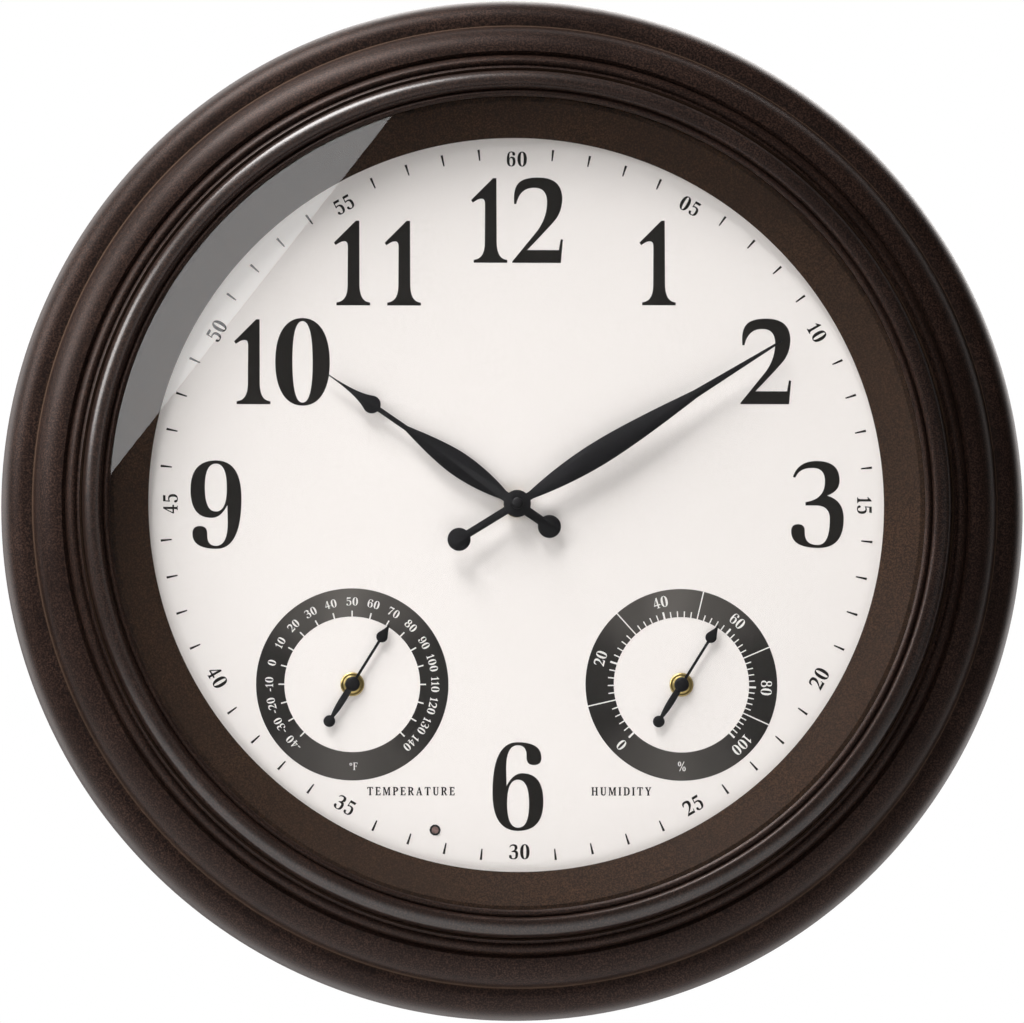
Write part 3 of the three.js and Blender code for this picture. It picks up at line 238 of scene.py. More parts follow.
def setCamera():
    target = placed(0, 0, view["rimAhead"])
    left, below = math.radians(view["left"]), math.radians(view["below"])
    way = Vector((-math.sin(left) * math.cos(below), -math.cos(left) * math.cos(below), -math.sin(below)))
    bpy.ops.object.camera_add(location=target + way * view["distance"])
    camera = bpy.context.object
    camera.name = "photoCamera"
    level = (-way).to_track_quat("-Z", "Y")
    camera.rotation_euler = (level @ Quaternion((0, 0, 1), math.radians(view["roll"]))).to_euler()
    camera.data.sensor_width = view["sensor"]
    camera.data.lens = view["sensor"] * view["distance"] / (view["acrossPicture"] * mm)
    camera.data.shift_x = view["shiftX"]
    camera.data.shift_y = view["shiftY"]
    camera.data.clip_end = 60
    bpy.context.scene.camera = camera


studio = {
    "floorDrop": 700, "floorSize": 9, "floorClear": 1.1, "floorGone": 2.4, "floorTone": 0.86,
    "floorRoughness": 0.8,
    "top": {"place": (-1.1, -0.76, 2.68), "size": (1.9, 1.0), "power": 162},
    "left": {"place": (-2.6, -0.76, 1.25), "size": (1.9, 1.1), "power": 88},
    "fill": {"place": (2.2, -2.3, -0.5), "size": (2, 2), "power": 2.5},
    "back": {"place": (0.8, 2.6, 1.6), "size": (2.2, 2.2), "power": 50},
    "gleam": {"place": (-0.25, -3, 0.619), "size": (1.1, 0.6), "power": 5.4, "aim": (-0.25, 0, 0.619),
              "roll": 52},
    "roomLight": 0.07, "roomTint": (1, 0.985, 0.97, 1), "frontGloss": 0.03, "sideGloss": 2.4,
    "sideFrom": 0.25, "sideTo": 0.75, "wallFrom": 0.87, "wallTo": 0.97, "wallGloss": 0.05,
}


def addLamp(name, place, size, power, aim=(0, 0, 0), roll=0):
    bpy.ops.object.light_add(type="AREA", location=place)
    lamp = bpy.context.object
    lamp.name = name
    lamp.data.shape = "RECTANGLE"
    lamp.data.size, lamp.data.size_y = size
    lamp.data.energy = power
    facing = (Vector(aim) - Vector(place)).to_track_quat("-Z", "Y")
    lamp.rotation_euler = (facing @ Quaternion((0, 0, 1), math.radians(roll))).to_euler()
    return lamp


def whiteBehind(tree):
    # white for the camera and through glass; a gloss sees pale sides, a dark wall and a dim room before it
    s = studio
    path, behind = tree.nodes.new("ShaderNodeLightPath").outputs, placeParts(tree, "Generated")["Y"]
    sides = ranged(tree, behind, s["sideFrom"], s["sideTo"], s["frontGloss"], s["sideGloss"])
    wall = ranged(tree, behind, s["wallFrom"], s["wallTo"], 1, s["wallGloss"])
    gloss = maths(tree, "MULTIPLY", path["Is Glossy Ray"], maths(tree, "MULTIPLY", sides, wall))
    # light that is mirrored first and then leaves through the glass finds the room, not the white
    unmirrored = maths(tree, "LESS_THAN", path["Glossy Depth"], 0.5)
    through = maths(tree, "MULTIPLY", path["Is Transmission Ray"], unmirrored)
    straight = maths(tree, "MAXIMUM", path["Is Camera Ray"], through)
    return maths(tree, "MAXIMUM", straight, path["Is Glossy Ray"]), maths(tree, "MAXIMUM", straight, gloss)


def setRoom():
    world = bpy.data.worlds.new("softRoom")
    bpy.context.scene.world = world
    world.use_nodes = True
    tree = world.node_tree
    tree.nodes.clear()
    seen, room = tree.nodes.new("ShaderNodeBackground"), tree.nodes.new("ShaderNodeBackground")
    mix, out = tree.nodes.new("ShaderNodeMixShader"), tree.nodes.new("ShaderNodeOutputWorld")
    share, strength = whiteBehind(tree)
    seen.inputs["Color"].default_value = (1, 1, 1, 1)
    room.inputs["Color"].default_value = studio["roomTint"]
    room.inputs["Strength"].default_value = studio["roomLight"]
    tree.links.new(strength, seen.inputs["Strength"])
    for socket, value in zip(mix.inputs, (share, room.outputs[0], seen.outputs[0])):
        tree.links.new(value, socket)
    tree.links.new(mix.outputs[0], out.inputs[0])


def addFloor():
    # the floor fades away from its middle outwards and can't be seen from below
    bpy.ops.mesh.primitive_plane_add(size=studio["floorSize"], location=(0, 0, -studio["floorDrop"] * mm))
    floor = bpy.context.object
    floor.name = "studioFloor"
    paint, tree, shader = newMaterial("floorPaint")
    shader.inputs["Base Color"].default_value = (*[studio["floorTone"]] * 3, 1)
    shader.inputs["Roughness"].default_value = studio["floorRoughness"]
    length, side = tree.nodes.new("ShaderNodeVectorMath"), tree.nodes.new("ShaderNodeNewGeometry")
    length.operation = "LENGTH"
    tree.links.new(tree.nodes.new("ShaderNodeTexCoord").outputs["Object"], length.inputs[0])
    fade = ranged(tree, length.outputs["Value"], studio["floorClear"], studio["floorGone"], 1, 0)
    shown = maths(tree, "MULTIPLY_ADD", side.outputs["Backfacing"], -1, fade)
    shown.node.use_clamp = True
    tree.links.new(shown, shader.inputs["Alpha"])
    floor.data.materials.append(paint)


def setStudio():
    setRoom()
    for name in ("top", "left", "fill", "back", "gleam"):
        addLamp(name + "Panel", **studio[name])
    addFloor()
    bpy.context.scene.view_settings.view_transform = "Standard"


setCamera()
setStudio()
print("camera, floor and light are set")


# Finishes. Shared effects are node groups that give out colours, masks and heights.

speckleLook = {
    "fine": (0.42, 0.72), "fineDetail": 2,
    "slow": (0.3, 0.7), "slowScale": 28, "slowDetail": 3, "slowLeast": 0.55,
}


def speckleGroup():
    # fine grains of a lighter tone over a base tone, with slow patches and a height
    group, given, result = newGroup("paintSpeckle", [
        ("Base", "NodeSocketColor", (0.03, 0.02, 0.02, 1)),
        ("Grain", "NodeSocketColor", (0.1, 0.08, 0.07, 1)), ("Grain Size", "NodeSocketFloat", 0.8),
        ("Amount", "NodeSocketFloat", 0.4), ("Roughness", "NodeSocketFloat", 0.4),
        ("Spread", "NodeSocketFloat", 0.1),
    ], [("Color", "NodeSocketColor"), ("Roughness", "NodeSocketFloat"), ("Height", "NodeSocketFloat")])
    look = speckleLook
    place = group.nodes.new("ShaderNodeTexCoord").outputs["Object"]
    fine, slow = group.nodes.new("ShaderNodeTexNoise"), group.nodes.new("ShaderNodeTexNoise")
    fineScale = maths(group, "DIVIDE", 1 / mm, given["Grain Size"])
    for noise, scale, detail in ((fine, fineScale, look["fineDetail"]),
                                 (slow, look["slowScale"], look["slowDetail"])):
        group.links.new(place, noise.inputs["Vector"])
        feed(group, noise.inputs["Scale"], scale)
        noise.inputs["Detail"].default_value = detail
    pick = ranged(group, fine.outputs["Fac"], *look["fine"], kind="LINEAR")
    patch = ranged(group, slow.outputs["Fac"], *look["slow"], look["slowLeast"], kind="LINEAR")
    amount = maths(group, "MULTIPLY", maths(group, "MULTIPLY", pick, patch), given["Amount"])
    group.links.new(mixedColour(group, amount, given["Base"], given["Grain"]), result["Color"])
    rough = maths(group, "MULTIPLY_ADD", slow.outputs["Fac"], given["Spread"], given["Roughness"])
    group.links.new(rough, result["Roughness"])
    group.links.new(fine.outputs["Fac"], result["Height"])
    return group


def ringBandGroup():
    # a mask that is 1 at one radius from the clock's axis and falls off on both sides
    group, given, result = newGroup("ringBand", [
        ("Radius", "NodeSocketFloat", 0.2), ("Width", "NodeSocketFloat", 0.002),
    ], [("Mask", "NodeSocketFloat")])
    parts = placeParts(group)
    flat, length = group.nodes.new("ShaderNodeCombineXYZ"), group.nodes.new("ShaderNodeVectorMath")
    length.operation = "LENGTH"
    group.links.new(parts["X"], flat.inputs["X"])
    group.links.new(parts["Z"], flat.inputs["Z"])
    group.links.new(flat.outputs[0], length.inputs[0])
    away = maths(group, "ABSOLUTE", maths(group, "SUBTRACT", length.outputs["Value"], given["Radius"]))
    mask = maths(group, "SUBTRACT", 1, maths(group, "DIVIDE", away, given["Width"]))
    mask.node.use_clamp = True
    group.links.new(mask, result["Mask"])
    return group


paintedSheenLook = {
    "foot": 0.6, "stops": ((0.16, 0.55), (0.4, 0.06), (0.66, 0.04), (0.84, 0.4)), "lean": 0.004,
    "side": 0.0896, "up": -0.0981,   # where the two gauges lie, in metres
}


def sheenGroup():
    # painted sheen: the black gauge rings are painted lighter at their top, less at their foot; both lie at
    # the same height and reach
    group, given, result = newGroup("paintedConicSheen", [
        ("Base", "NodeSocketColor", (0.02, 0.02, 0.02, 1)), ("Shine", "NodeSocketColor", (0.1, 0.1, 0.1, 1)),
        ("Side", "NodeSocketFloat", paintedSheenLook["side"]), ("Up", "NodeSocketFloat", paintedSheenLook["up"]),
    ], [("Color", "NodeSocketColor")])
    parts = placeParts(group)
    toMiddle = maths(group, "MULTIPLY", maths(group, "SIGN", parts["X"]), given["Side"])
    across = maths(group, "ADD", maths(group, "SUBTRACT", parts["X"], toMiddle), paintedSheenLook["lean"])
    up = maths(group, "SUBTRACT", parts["Z"], given["Up"])
    angle = maths(group, "ABSOLUTE", maths(group, "ARCTAN2", across, up))
    ramp = group.nodes.new("ShaderNodeValToRGB")
    ramp.color_ramp.interpolation = "EASE"
    steps = ramp.color_ramp.elements
    steps[0].position, steps[0].color = 0, (1, 1, 1, 1)
    steps[1].position, steps[1].color = 1, (*[paintedSheenLook["foot"]] * 3, 1)
    for place, value in paintedSheenLook["stops"]:
        step = steps.new(place)
        step.color = (value, value, value, 1)
    group.links.new(maths(group, "DIVIDE", angle, math.pi), ramp.inputs[0])
    group.links.new(mixedColour(group, ramp.outputs[0], given["Base"], given["Shine"]), result["Color"])
    return group


speckle = speckleGroup()
ringBand = ringBandGroup()
paintedConicSheen = sheenGroup()


def tone(*colour):
    # a colour as read from a picture, turned into a shader's value
    return (*[c / 255 / 12.92 if c <= 10 else ((c / 255 + 0.055) / 1.055) ** 2.4 for c in colour], 1)


def newFinish(name, base, grain, grainSize, amount, roughness, spread, metallic, bump, specular=0.5,
              reach=0.1):
    material, tree, shader = newMaterial(name)
    grains = useGroup(tree, speckle, {
        "Base": tone(*base), "Grain": tone(*grain), "Grain Size": grainSize, "Amount": amount,
        "Roughness": roughness, "Spread": spread,
    })
    grains.name = "speckle"
    relief = tree.nodes.new("ShaderNodeBump")
    relief.inputs["Strength"].default_value = bump
    relief.inputs["Distance"].default_value = reach * mm
    tree.links.new(grains.outputs["Color"], shader.inputs["Base Color"])
    tree.links.new(grains.outputs["Roughness"], shader.inputs["Roughness"])
    tree.links.new(grains.outputs["Height"], relief.inputs["Height"])
    tree.links.new(relief.outputs[0], shader.inputs["Normal"])
    shader.inputs["Metallic"].default_value = metallic
    shader.inputs["Specular IOR Level"].default_value = specular
    return material


# each paint: name, base tone, grain tone, grain size in mm, amount of grain, roughness, how far that wanders,
# metal, relief, gloss
paints = {
    "bronze": ("bronzePaint", (19, 12, 10), (84, 61, 51), 0.9, 0.52, 0.36, 0.14, 0.1, 0.35, 0.16),
    "brown": ("brownPaint", (34, 22, 14), (96, 68, 48), 0.9, 0.5, 0.65, 0.2, 0, 0.2, 0.15),
    "dial": ("dialPaint", (250, 244, 240), (243, 237, 232), 2.4, 0.5, 0.5, 0.15, 0, 0.03, 0.3),
    "ink": ("dialInk", (21, 18, 15), (34, 30, 27), 0.7, 0.4, 0.5, 0.2, 0, 0.04, 0.2),
    "scaleInk": ("scaleInk", (24, 21, 19), (38, 34, 31), 0.8, 0.4, 0.45, 0.2, 0, 0.05, 0.25),
    "whiteInk": ("whiteInk", (245, 243, 239), (225, 222, 218), 0.7, 0.4, 0.5, 0.2, 0, 0.04, 0.3),
    "hand": ("handPaint", (12, 11, 13), (28, 27, 31), 0.7, 0.35, 0.4, 0.2, 0.1, 0.15, 0.25),
    "rubber": ("blackRubber", (20, 20, 20), (38, 38, 38), 0.8, 0.4, 0.8, 0.1, 0, 0.2, 0.3),
    "blackPlastic": ("blackPlastic", (27, 27, 28), (50, 50, 52), 0.6, 0.35, 0.5, 0.15, 0, 0.35, 0.4),
    "greyPlastic": ("greyPlastic", (140, 143, 146), (160, 163, 166), 0.6, 0.35, 0.45, 0.15, 0, 0.2),
    "wheelPlastic": ("wheelPlastic", (233, 220, 192), (214, 198, 166), 0.5, 0.3, 0.4, 0.15, 0, 0.1),
    "brass": ("turnedBrass", (190, 168, 110), (128, 104, 58), 0.5, 0.3, 0.22, 0.2, 1, 0.12),
    "bimetal": ("bimetal", (185, 131, 79), (140, 92, 50), 0.5, 0.4, 0.3, 0.2, 1, 0.1),
    "copper": ("copperWire", (164, 85, 45), (110, 50, 24), 0.3, 0.4, 0.3, 0.2, 1, 0.3),
    "steel": ("zincSteel", (176, 179, 181), (128, 132, 136), 0.7, 0.4, 0.3, 0.2, 1, 0.12),
    "boardGreen": ("boardGreen", (44, 90, 58), (28, 64, 40), 1.2, 0.5, 0.4, 0.2, 0, 0.1),
    "boardWhite": ("boardWhite", (223, 226, 220), (196, 200, 192), 1.0, 0.4, 0.45, 0.2, 0, 0.1),
    "cell": ("cellSkin", (70, 76, 84), (100, 105, 112), 0.9, 0.35, 0.3, 0.2, 0.2, 0.06),
    "lead": ("leadSkin", (142, 31, 28), (104, 20, 18), 0.5, 0.4, 0.45, 0.2, 0, 0.1),
    "sensor": ("sensorFace", (138, 112, 106), (52, 42, 42), 1.1, 0.9, 0.3, 0.2, 0, 0.2),
}
# the lighter tone on the ridges is partly rubbed wear and partly a painted highlight
bronzeLook = {
    "rubAndHighlightTone": (112, 90, 74), "ridges": [(263.0, 0.7), (237.4, 0.8)], "rubAndHighlightAmount": 0.36,
    "polished": (232.6, 6.0), "polish": 1.0, "polishRoughness": 0.27, "tint": (1, 0.82, 0.76, 1),
}
glassLook = {"colour": (0.985, 0.985, 0.985, 1), "ior": 1.45, "shadowColour": (0.96, 0.96, 0.96, 1)}
# the tone of the painted sheen on the gauge rings
paintedScaleSheen = (96, 92, 88)


def rubBronze(material):
    # the ridges are painted lighter, partly rubbed wear and partly a painted highlight, and the band's outer
    # edge is polished
    look, tree = bronzeLook, material.node_tree
    shader, grains = tree.nodes["Principled BSDF"], tree.nodes["speckle"]

    def band(radius, width):
        return useGroup(tree, ringBand, {"Radius": radius * mm, "Width": width * mm}).outputs["Mask"]

    ridges = band(*look["ridges"][0])
    for radius, width in look["ridges"][1:]:
        ridges = maths(tree, "MAXIMUM", ridges, band(radius, width))
    # painted highlight with rubbed wear: the ridges get a lighter tone all the way round
    rubAndHighlight = maths(tree, "MULTIPLY", ridges, look["rubAndHighlightAmount"])
    colour = mixedColour(tree, rubAndHighlight, grains.outputs["Color"], tone(*look["rubAndHighlightTone"]))
    tree.links.new(colour, shader.inputs["Base Color"])
    coat = maths(tree, "MULTIPLY", band(*look["polished"]), look["polish"])
    tree.links.new(coat, shader.inputs["Coat Weight"])
    shader.inputs["Coat Roughness"].default_value = look["polishRoughness"]
    shader.inputs["Specular Tint"].default_value = look["tint"]


# paints the conic sheen into the gauge rings' colour
def shineScale(material):
    tree = material.node_tree
    inked = tree.nodes["speckle"].outputs["Color"]
    shine = useGroup(tree, paintedConicSheen, {"Base": inked, "Shine": tone(*paintedScaleSheen)})
    tree.links.new(shine.outputs["Color"], tree.nodes["Principled BSDF"].inputs["Base Color"])


def clearGlass():
    # light from the lamps and off the dial passes straight through; only seen and mirrored rays are bent
    material, tree, shader = newMaterial("clearGlass")
    shader.inputs["Base Color"].default_value = glassLook["colour"]
    shader.inputs["Transmission Weight"].default_value = 1
    shader.inputs["Roughness"].default_value = 0
    shader.inputs["IOR"].default_value = glassLook["ior"]
    path, clear = tree.nodes.new("ShaderNodeLightPath"), tree.nodes.new("ShaderNodeBsdfTransparent")
    mix = tree.nodes.new("ShaderNodeMixShader")
    clear.inputs["Color"].default_value = glassLook["shadowColour"]
    either = maths(tree, "MAXIMUM", path.outputs["Is Shadow Ray"], path.outputs["Is Diffuse Ray"])
    for socket, value in zip(mix.inputs, (either, shader.outputs[0], clear.outputs[0])):
        tree.links.new(value, socket)
    tree.links.new(mix.outputs[0], tree.nodes["Material Output"].inputs[0])
    return material


finishes = {key: newFinish(*values) for key, values in paints.items()}
finishes["glass"] = clearGlass()
rubBronze(finishes["bronze"])
shineScale(finishes["scaleInk"])
print("finishes are made:", len(finishes))


# Frame: the moulding is spun from one profile, with the same steps, bead and ridges as its solid

moulding = {
    "radius": 279.4, "width": 57.6, "depth": 64.8, "steps": 288, "crease": 28,
    "rim": (0.085, 0), "flank": ((0, 0), (0, 0.22)), "roll": ((0, 0.59), (0.25, 0.59)),
    "step": ((0.281, 0.59), (0.29, 0.613)), "cove": ((0.35, 0.795), (0.55, 0.815)), "valley": (0.582, 0.784),
    "bead": ((0.638, 0.885), (0.69, 0.835)), "ridge": ((0.716, 0.852), (0.742, 0.828)),
    "band": ((0.75, 0.942), (0.775, 0.966)), "crown": ((0.81, 0.997), (0.886, 1)),
    "bandBack": ((0.918, 1), (0.934, 0.95)),
    "lip": ((0.968, 1), (1, 0.955)),
    "back": [(221.8, 60.4), (229.4, 60.4), (229.4, 52.4), (238.4, 52.4)],
    "shell": ((0.575, 0.742), (0.36, 0.58), (0.17, 0.49), (0.07, 0.3)),
    "seat": [(274.5, 9.3), (257.4, 9.3), (257.4, 5.3), (269, 5.3), (269, 0)],
}


def mouldingOutline():
    m = moulding

    def at(share):
        return (m["radius"] - share[0] * m["width"], share[1] * m["depth"])

    def sweep(start, curve, steps):
        return bend(at(start), at(curve[0]), at(curve[1]), steps)

    front = [at(m["rim"])] + sweep(m["rim"], m["flank"], 6) + sweep(m["flank"][1], m["roll"], 14)
    front += [at(p) for p in m["step"]] + sweep(m["step"][1], m["cove"], 12) + [at(m["valley"])]
    front += sweep(m["valley"], m["bead"], 10) + [at(p) for p in m["ridge"]]
    for before, after, steps in (("ridge", "band", 8), ("band", "crown", 6), ("crown", "bandBack", 10),
                                 ("bandBack", "lip", 6)):
        front += sweep(m[before][1], m[after], steps)
    return front + m["back"] + [at(p) for p in m["shell"]] + m["seat"]


def makeMoulding():
    piece = spun("frame_moulding", mouldingOutline(), moulding["steps"], moulding["crease"])
    dressed(piece, "bronze", "outer_frame")


makeMoulding()
print("frame is made")


# Brown ring under the glass

shade = {
    "outline": [(200.4, 47.5), (219.4, 55.5), (228.8, 55.5), (228.8, 52.1), (238.4, 52.1), (238.4, 49.9),
                (210.4, 49.9), (210.4, 42.6), (208, 42.6), (208, 49.2), (200.4, 46)],
    "steps": 256, "crease": 20,
}


def makeShade():
    piece = spun("shade_ring", shade["outline"], shade["steps"], shade["crease"])
    dressed(piece, "brown", "lamp_shade")


makeShade()
print("shade ring is made")


# Printed characters. Each is drawn in thousandths of its height: (x, z) is a corner, (x, z, 1) pulls a curve.

def oval(x, z, a, b, fullness=0.45):
    corners = [(fullness, 1), (1, fullness), (1, -fullness), (fullness, -1),
               (-fullness, -1), (-1, -fullness), (-1, fullness), (-fullness, 1)]
    return [(x + a * u, z + b * v, 1) for u, v in corners]


nineBody = [(302, 1026), (603, 1026, 1), (603, 585), (603, -14, 1), (305, -14), (22, -14, 1), (22, 165),
            (22, 254, 1), (110, 254), (198, 254, 1), (198, 166), (190, 22, 1), (300, 22), (440, 22, 1),
            (440, 300), (436, 500), (360, 350, 1), (248, 350), (0, 350, 1), (0, 680), (0, 1026, 1)]
nineEye = oval(300, 707, 130, 281, 0.5)


def halfTurned(contour):
    return [(603 - p[0], 1012 - p[1], *p[2:]) for p in contour]


stemFoot = [(230, 50), (320, 35), (320, 0), (0, 0), (0, 35), (90, 50), (90, 950), (0, 965)]
characters = {
    "0": [oval(323, 500, 323, 516, 0.47), oval(323, 500, 120, 480, 0.5)],
    "1": [[(303, 1000), (262, 1000), (0, 740), (22, 709), (90, 762, 1), (135, 755), (166, 748, 1),
           (166, 690), (162, 230), (158, 60, 1), (50, 38), (29, 34), (29, 0), (429, 0), (429, 34),
           (408, 38), (310, 60, 1), (303, 230)]],
    "2": [[(26, 695), (10, 860, 1), (130, 1010, 1), (314, 1010), (600, 1010, 1), (598, 755), (590, 600, 1),
           (430, 410, 1), (179, 152), (554, 152), (578, 282), (604, 276), (578, 0), (0, 0), (0, 16),
           (300, 380), (416, 540, 1), (416, 721), (416, 888, 1), (262, 888), (95, 888, 1), (50, 695)]],
    "3": [[(30, 826), (95, 1012, 1), (315, 1012), (586, 1012, 1), (586, 785), (586, 655, 1), (435, 603),
           (632, 552, 1), (632, 335), (632, -14, 1), (330, -14), (5, -14, 1), (5, 180), (5, 266, 1),
           (88, 266), (172, 266, 1), (168, 180), (160, 22, 1), (320, 22), (466, 22, 1), (466, 330),
           (466, 487, 1), (300, 487), (178, 487), (178, 527), (411, 560, 1), (411, 775), (411, 930, 1),
           (262, 930), (105, 930, 1), (58, 812)]],
    "4": [[(360, 1000), (450, 1000), (450, 350), (600, 350), (600, 255), (450, 255), (450, 45), (540, 32),
           (540, 0), (230, 0), (230, 32), (310, 45), (310, 255), (0, 255), (0, 320)], [(310, 800),
           (310, 350), (70, 350)]],
    "5": [[(110, 1000), (545, 1000), (510, 850), (150, 850), (132, 610), (200, 650, 1), (300, 650),
           (600, 650, 1), (600, 330), (600, -14, 1), (270, -14), (20, -14, 1), (20, 150), (20, 225, 1),
           (95, 225), (165, 225, 1), (165, 150), (165, 30, 1), (285, 30), (440, 30, 1), (440, 320),
           (440, 585, 1), (270, 585), (150, 585, 1), (85, 520)]],
    "6": [halfTurned(nineBody), halfTurned(nineEye)],
    "7": [[(60, 1000), (600, 1000), (600, 960), (380, 500, 1), (330, 0), (180, 0), (260, 460, 1),
           (480, 850), (130, 850), (80, 700), (45, 700)]],
    "8": [[(310, 1020), (560, 1020, 1), (560, 770), (560, 620, 1), (430, 545), (620, 440, 1), (620, 260),
           (620, -14, 1), (310, -14), (0, -14, 1), (0, 260), (0, 430, 1), (190, 530), (60, 620, 1),
           (60, 770), (60, 1020, 1)], oval(318, 778, 112, 190), oval(305, 262, 155, 225)],
    "9": [nineBody, nineEye],
    "-": [[(0, 410), (330, 410), (330, 300), (0, 300)]],
    "%": [oval(170, 760, 170, 240), oval(170, 760, 70, 180), oval(640, 240, 170, 240),
           oval(640, 240, 70, 180), [(600, 1000), (680, 1000), (210, 0), (130, 0)]],
    "o": [oval(150, 780, 170, 180), oval(150, 780, 85, 95)],
    "F": [[(0, 1000), (570, 1000), (575, 770), (540, 770), (500, 935), (230, 935), (230, 550), (400, 550),
           (415, 640), (445, 640), (445, 390), (415, 390), (400, 485), (230, 485)] + stemFoot],
    "T": [[(20, 1000), (680, 1000), (690, 760), (655, 760), (620, 940), (420, 940), (420, 50), (500, 35),
           (500, 0), (200, 0), (200, 35), (280, 50), (280, 940), (80, 940), (45, 760), (10, 760)]],
    "E": [[(0, 1000), (570, 1000), (575, 770), (540, 770), (500, 940), (230, 940), (230, 550), (400, 550),
           (415, 640), (445, 640), (445, 390), (415, 390), (400, 485), (230, 485), (230, 60), (510, 60),
           (570, 270), (605, 270), (590, 0), (0, 0), (0, 35), (90, 50), (90, 950), (0, 965)]],
    "M": [[(0, 1000), (230, 1000), (450, 300), (670, 1000), (900, 1000), (900, 965), (820, 950), (820, 50),
           (900, 35), (900, 0), (600, 0), (600, 35), (680, 50), (680, 800), (430, 0), (400, 0), (150, 800),
           (150, 50), (230, 35), (230, 0), (0, 0), (0, 35), (90, 50), (90, 950), (0, 965)]],
    "P": [[(0, 1000), (340, 1000), (620, 1000, 1), (620, 730), (620, 460, 1), (330, 460), (230, 460)] +
           stemFoot, [(230, 940), (310, 940), (470, 940, 1), (470, 730), (470, 520, 1), (310, 520),
           (230, 520)]],
    "R": [[(0, 1000), (340, 1000), (620, 1000, 1), (620, 745), (620, 540, 1), (440, 490), (640, 60),
           (710, 35), (710, 0), (540, 0), (310, 480), (230, 480)] + stemFoot, [(230, 940), (310, 940),
           (470, 940, 1), (470, 740), (470, 540, 1), (310, 540), (230, 540)]],
    "A": [[(330, 1010), (390, 1010), (650, 50), (720, 35), (720, 0), (430, 0), (430, 35), (510, 50),
           (450, 280), (190, 280), (120, 50), (210, 35), (210, 0), (-10, 0), (-10, 35), (60, 50)],
           [(318, 760), (205, 335), (435, 335)]],
    "U": [[(0, 1000), (320, 1000), (320, 965), (230, 950), (230, 280), (230, 60, 1), (390, 60),
           (560, 60, 1), (560, 280), (560, 950), (470, 965), (470, 1000), (700, 1000), (700, 965),
           (610, 950), (610, 270), (610, -14, 1), (370, -14), (90, -14, 1), (90, 280), (90, 950),
           (0, 965)]],
    "H": [[(0, 1000), (320, 1000), (320, 965), (230, 950), (230, 550), (550, 550), (550, 950), (460, 965),
           (460, 1000), (780, 1000), (780, 965), (690, 950), (690, 50), (780, 35), (780, 0), (460, 0),
           (460, 35), (550, 50), (550, 485), (230, 485)] + stemFoot],
    "I": [[(0, 1000), (320, 1000), (320, 965), (230, 950)] + stemFoot],
    "D": [[(0, 1000), (330, 1000), (720, 1000, 1), (720, 510), (720, 0, 1), (320, 0), (0, 0), (0, 35),
           (90, 50), (90, 950), (0, 965)], [(230, 940), (310, 940), (565, 940, 1), (565, 505), (565, 60, 1),
           (310, 60), (230, 60)]],
    "Y": [[(-10, 1000), (290, 1000), (290, 965), (210, 950), (390, 560), (560, 950), (480, 965),
           (480, 1000), (710, 1000), (710, 965), (630, 950), (425, 480), (425, 50), (515, 35), (515, 0),
           (195, 0), (195, 35), (285, 50), (285, 480), (60, 950), (-10, 965)]],
}


def traced(contour, steps):
    # corners stay; between two pulls that follow each other the curve passes half way
    full = []
    for i, point in enumerate(contour):
        before = contour[i - 1]
        if len(point) == 3 and len(before) == 3:
            full.append(((point[0] + before[0]) / 2, (point[1] + before[1]) / 2))
        full.append(point)
    while len(full[0]) == 3:
        full.append(full.pop(0))
    line = []
    for i, point in enumerate(full):
        if len(point) == 2:
            line.append(point)
        else:
            line += bend(full[i - 1], point[:2], full[(i + 1) % len(full)][:2], steps)[:-1]
    return line


def charWidth(letter):
    return max(p[0] for p in characters[letter][0 if letter != "%" else 2]) / 1000


def word(text, height, place, turn=0, squeeze=1, spacing=0.1, steps=4):
    # contours of a word centred on its place, its top turned clockwise from twelve
    widths = [charWidth(letter) * squeeze for letter in text]
    across = sum(widths) + spacing * (len(text) - 1)
    angle = math.radians(turn)
    start, contours = -across / 2, []
    for letter, width in zip(text, widths):
        for contour in characters[letter]:
            line = []
            for x, z in traced(contour, steps):
                u, v = (start + x / 1000 * squeeze) * height, (z / 1000 - 0.5) * height
                line.append((place[0] + u * math.cos(angle) + v * math.sin(angle),
                             place[1] - u * math.sin(angle) + v * math.cos(angle)))
            contours.append(line)
        start += width + spacing
    return contours


def arcWord(text, height, radius, middle, centre, squeeze=1, spacing=0.12, inward=False):
    # each letter of the word stands on the arc by itself
    widths = [charWidth(letter) * squeeze for letter in text]
    across = sum(widths) + spacing * (len(text) - 1)
    contours, along = [], -across / 2
    for letter, width in zip(text, widths):
        step = math.degrees((along + width / 2) * height / radius)
        place = around(radius, middle - step if inward else middle + step, centre)
        turn = middle - step + 180 if inward else middle + step
        contours += word(letter, height, place, turn, squeeze)
        along += width + spacing
    return contours


def spread(contours, grow):
    # small print drawn heavier: outer outlines move out and inner ones move in
    def area(line):
        return sum(a[0] * b[1] - b[0] * a[1] for a, b in zip(line, line[1:] + line[:1])) / 2

    def holds(line, point):
        inside = False
        for (ax, az), (bx, bz) in zip(line, line[1:] + line[:1]):
            if (az > point[1]) != (bz > point[1]) and point[0] < ax + (point[1] - az) * (bx - ax) / (bz - az):
                inside = not inside
        return inside

    result = []
    for line in contours:
        depth = sum(holds(other, line[0]) for other in contours if other is not line)
        way = grow if (area(line) > 0) == (depth % 2 == 0) else -grow
        moved = []
        for before, point, after in zip(line[-1:] + line[:-1], line, line[1:] + line[:1]):
            u, v = after[0] - before[0], after[1] - before[1]
            length = math.hypot(u, v) or 1
            moved.append((point[0] + v / length * way, point[1] - u / length * way))
        result.append(moved)
    return result


def circleLine(radius, centre=(0, 0), steps=128):
    return [around(radius, 360 * i / steps, centre) for i in range(steps)]


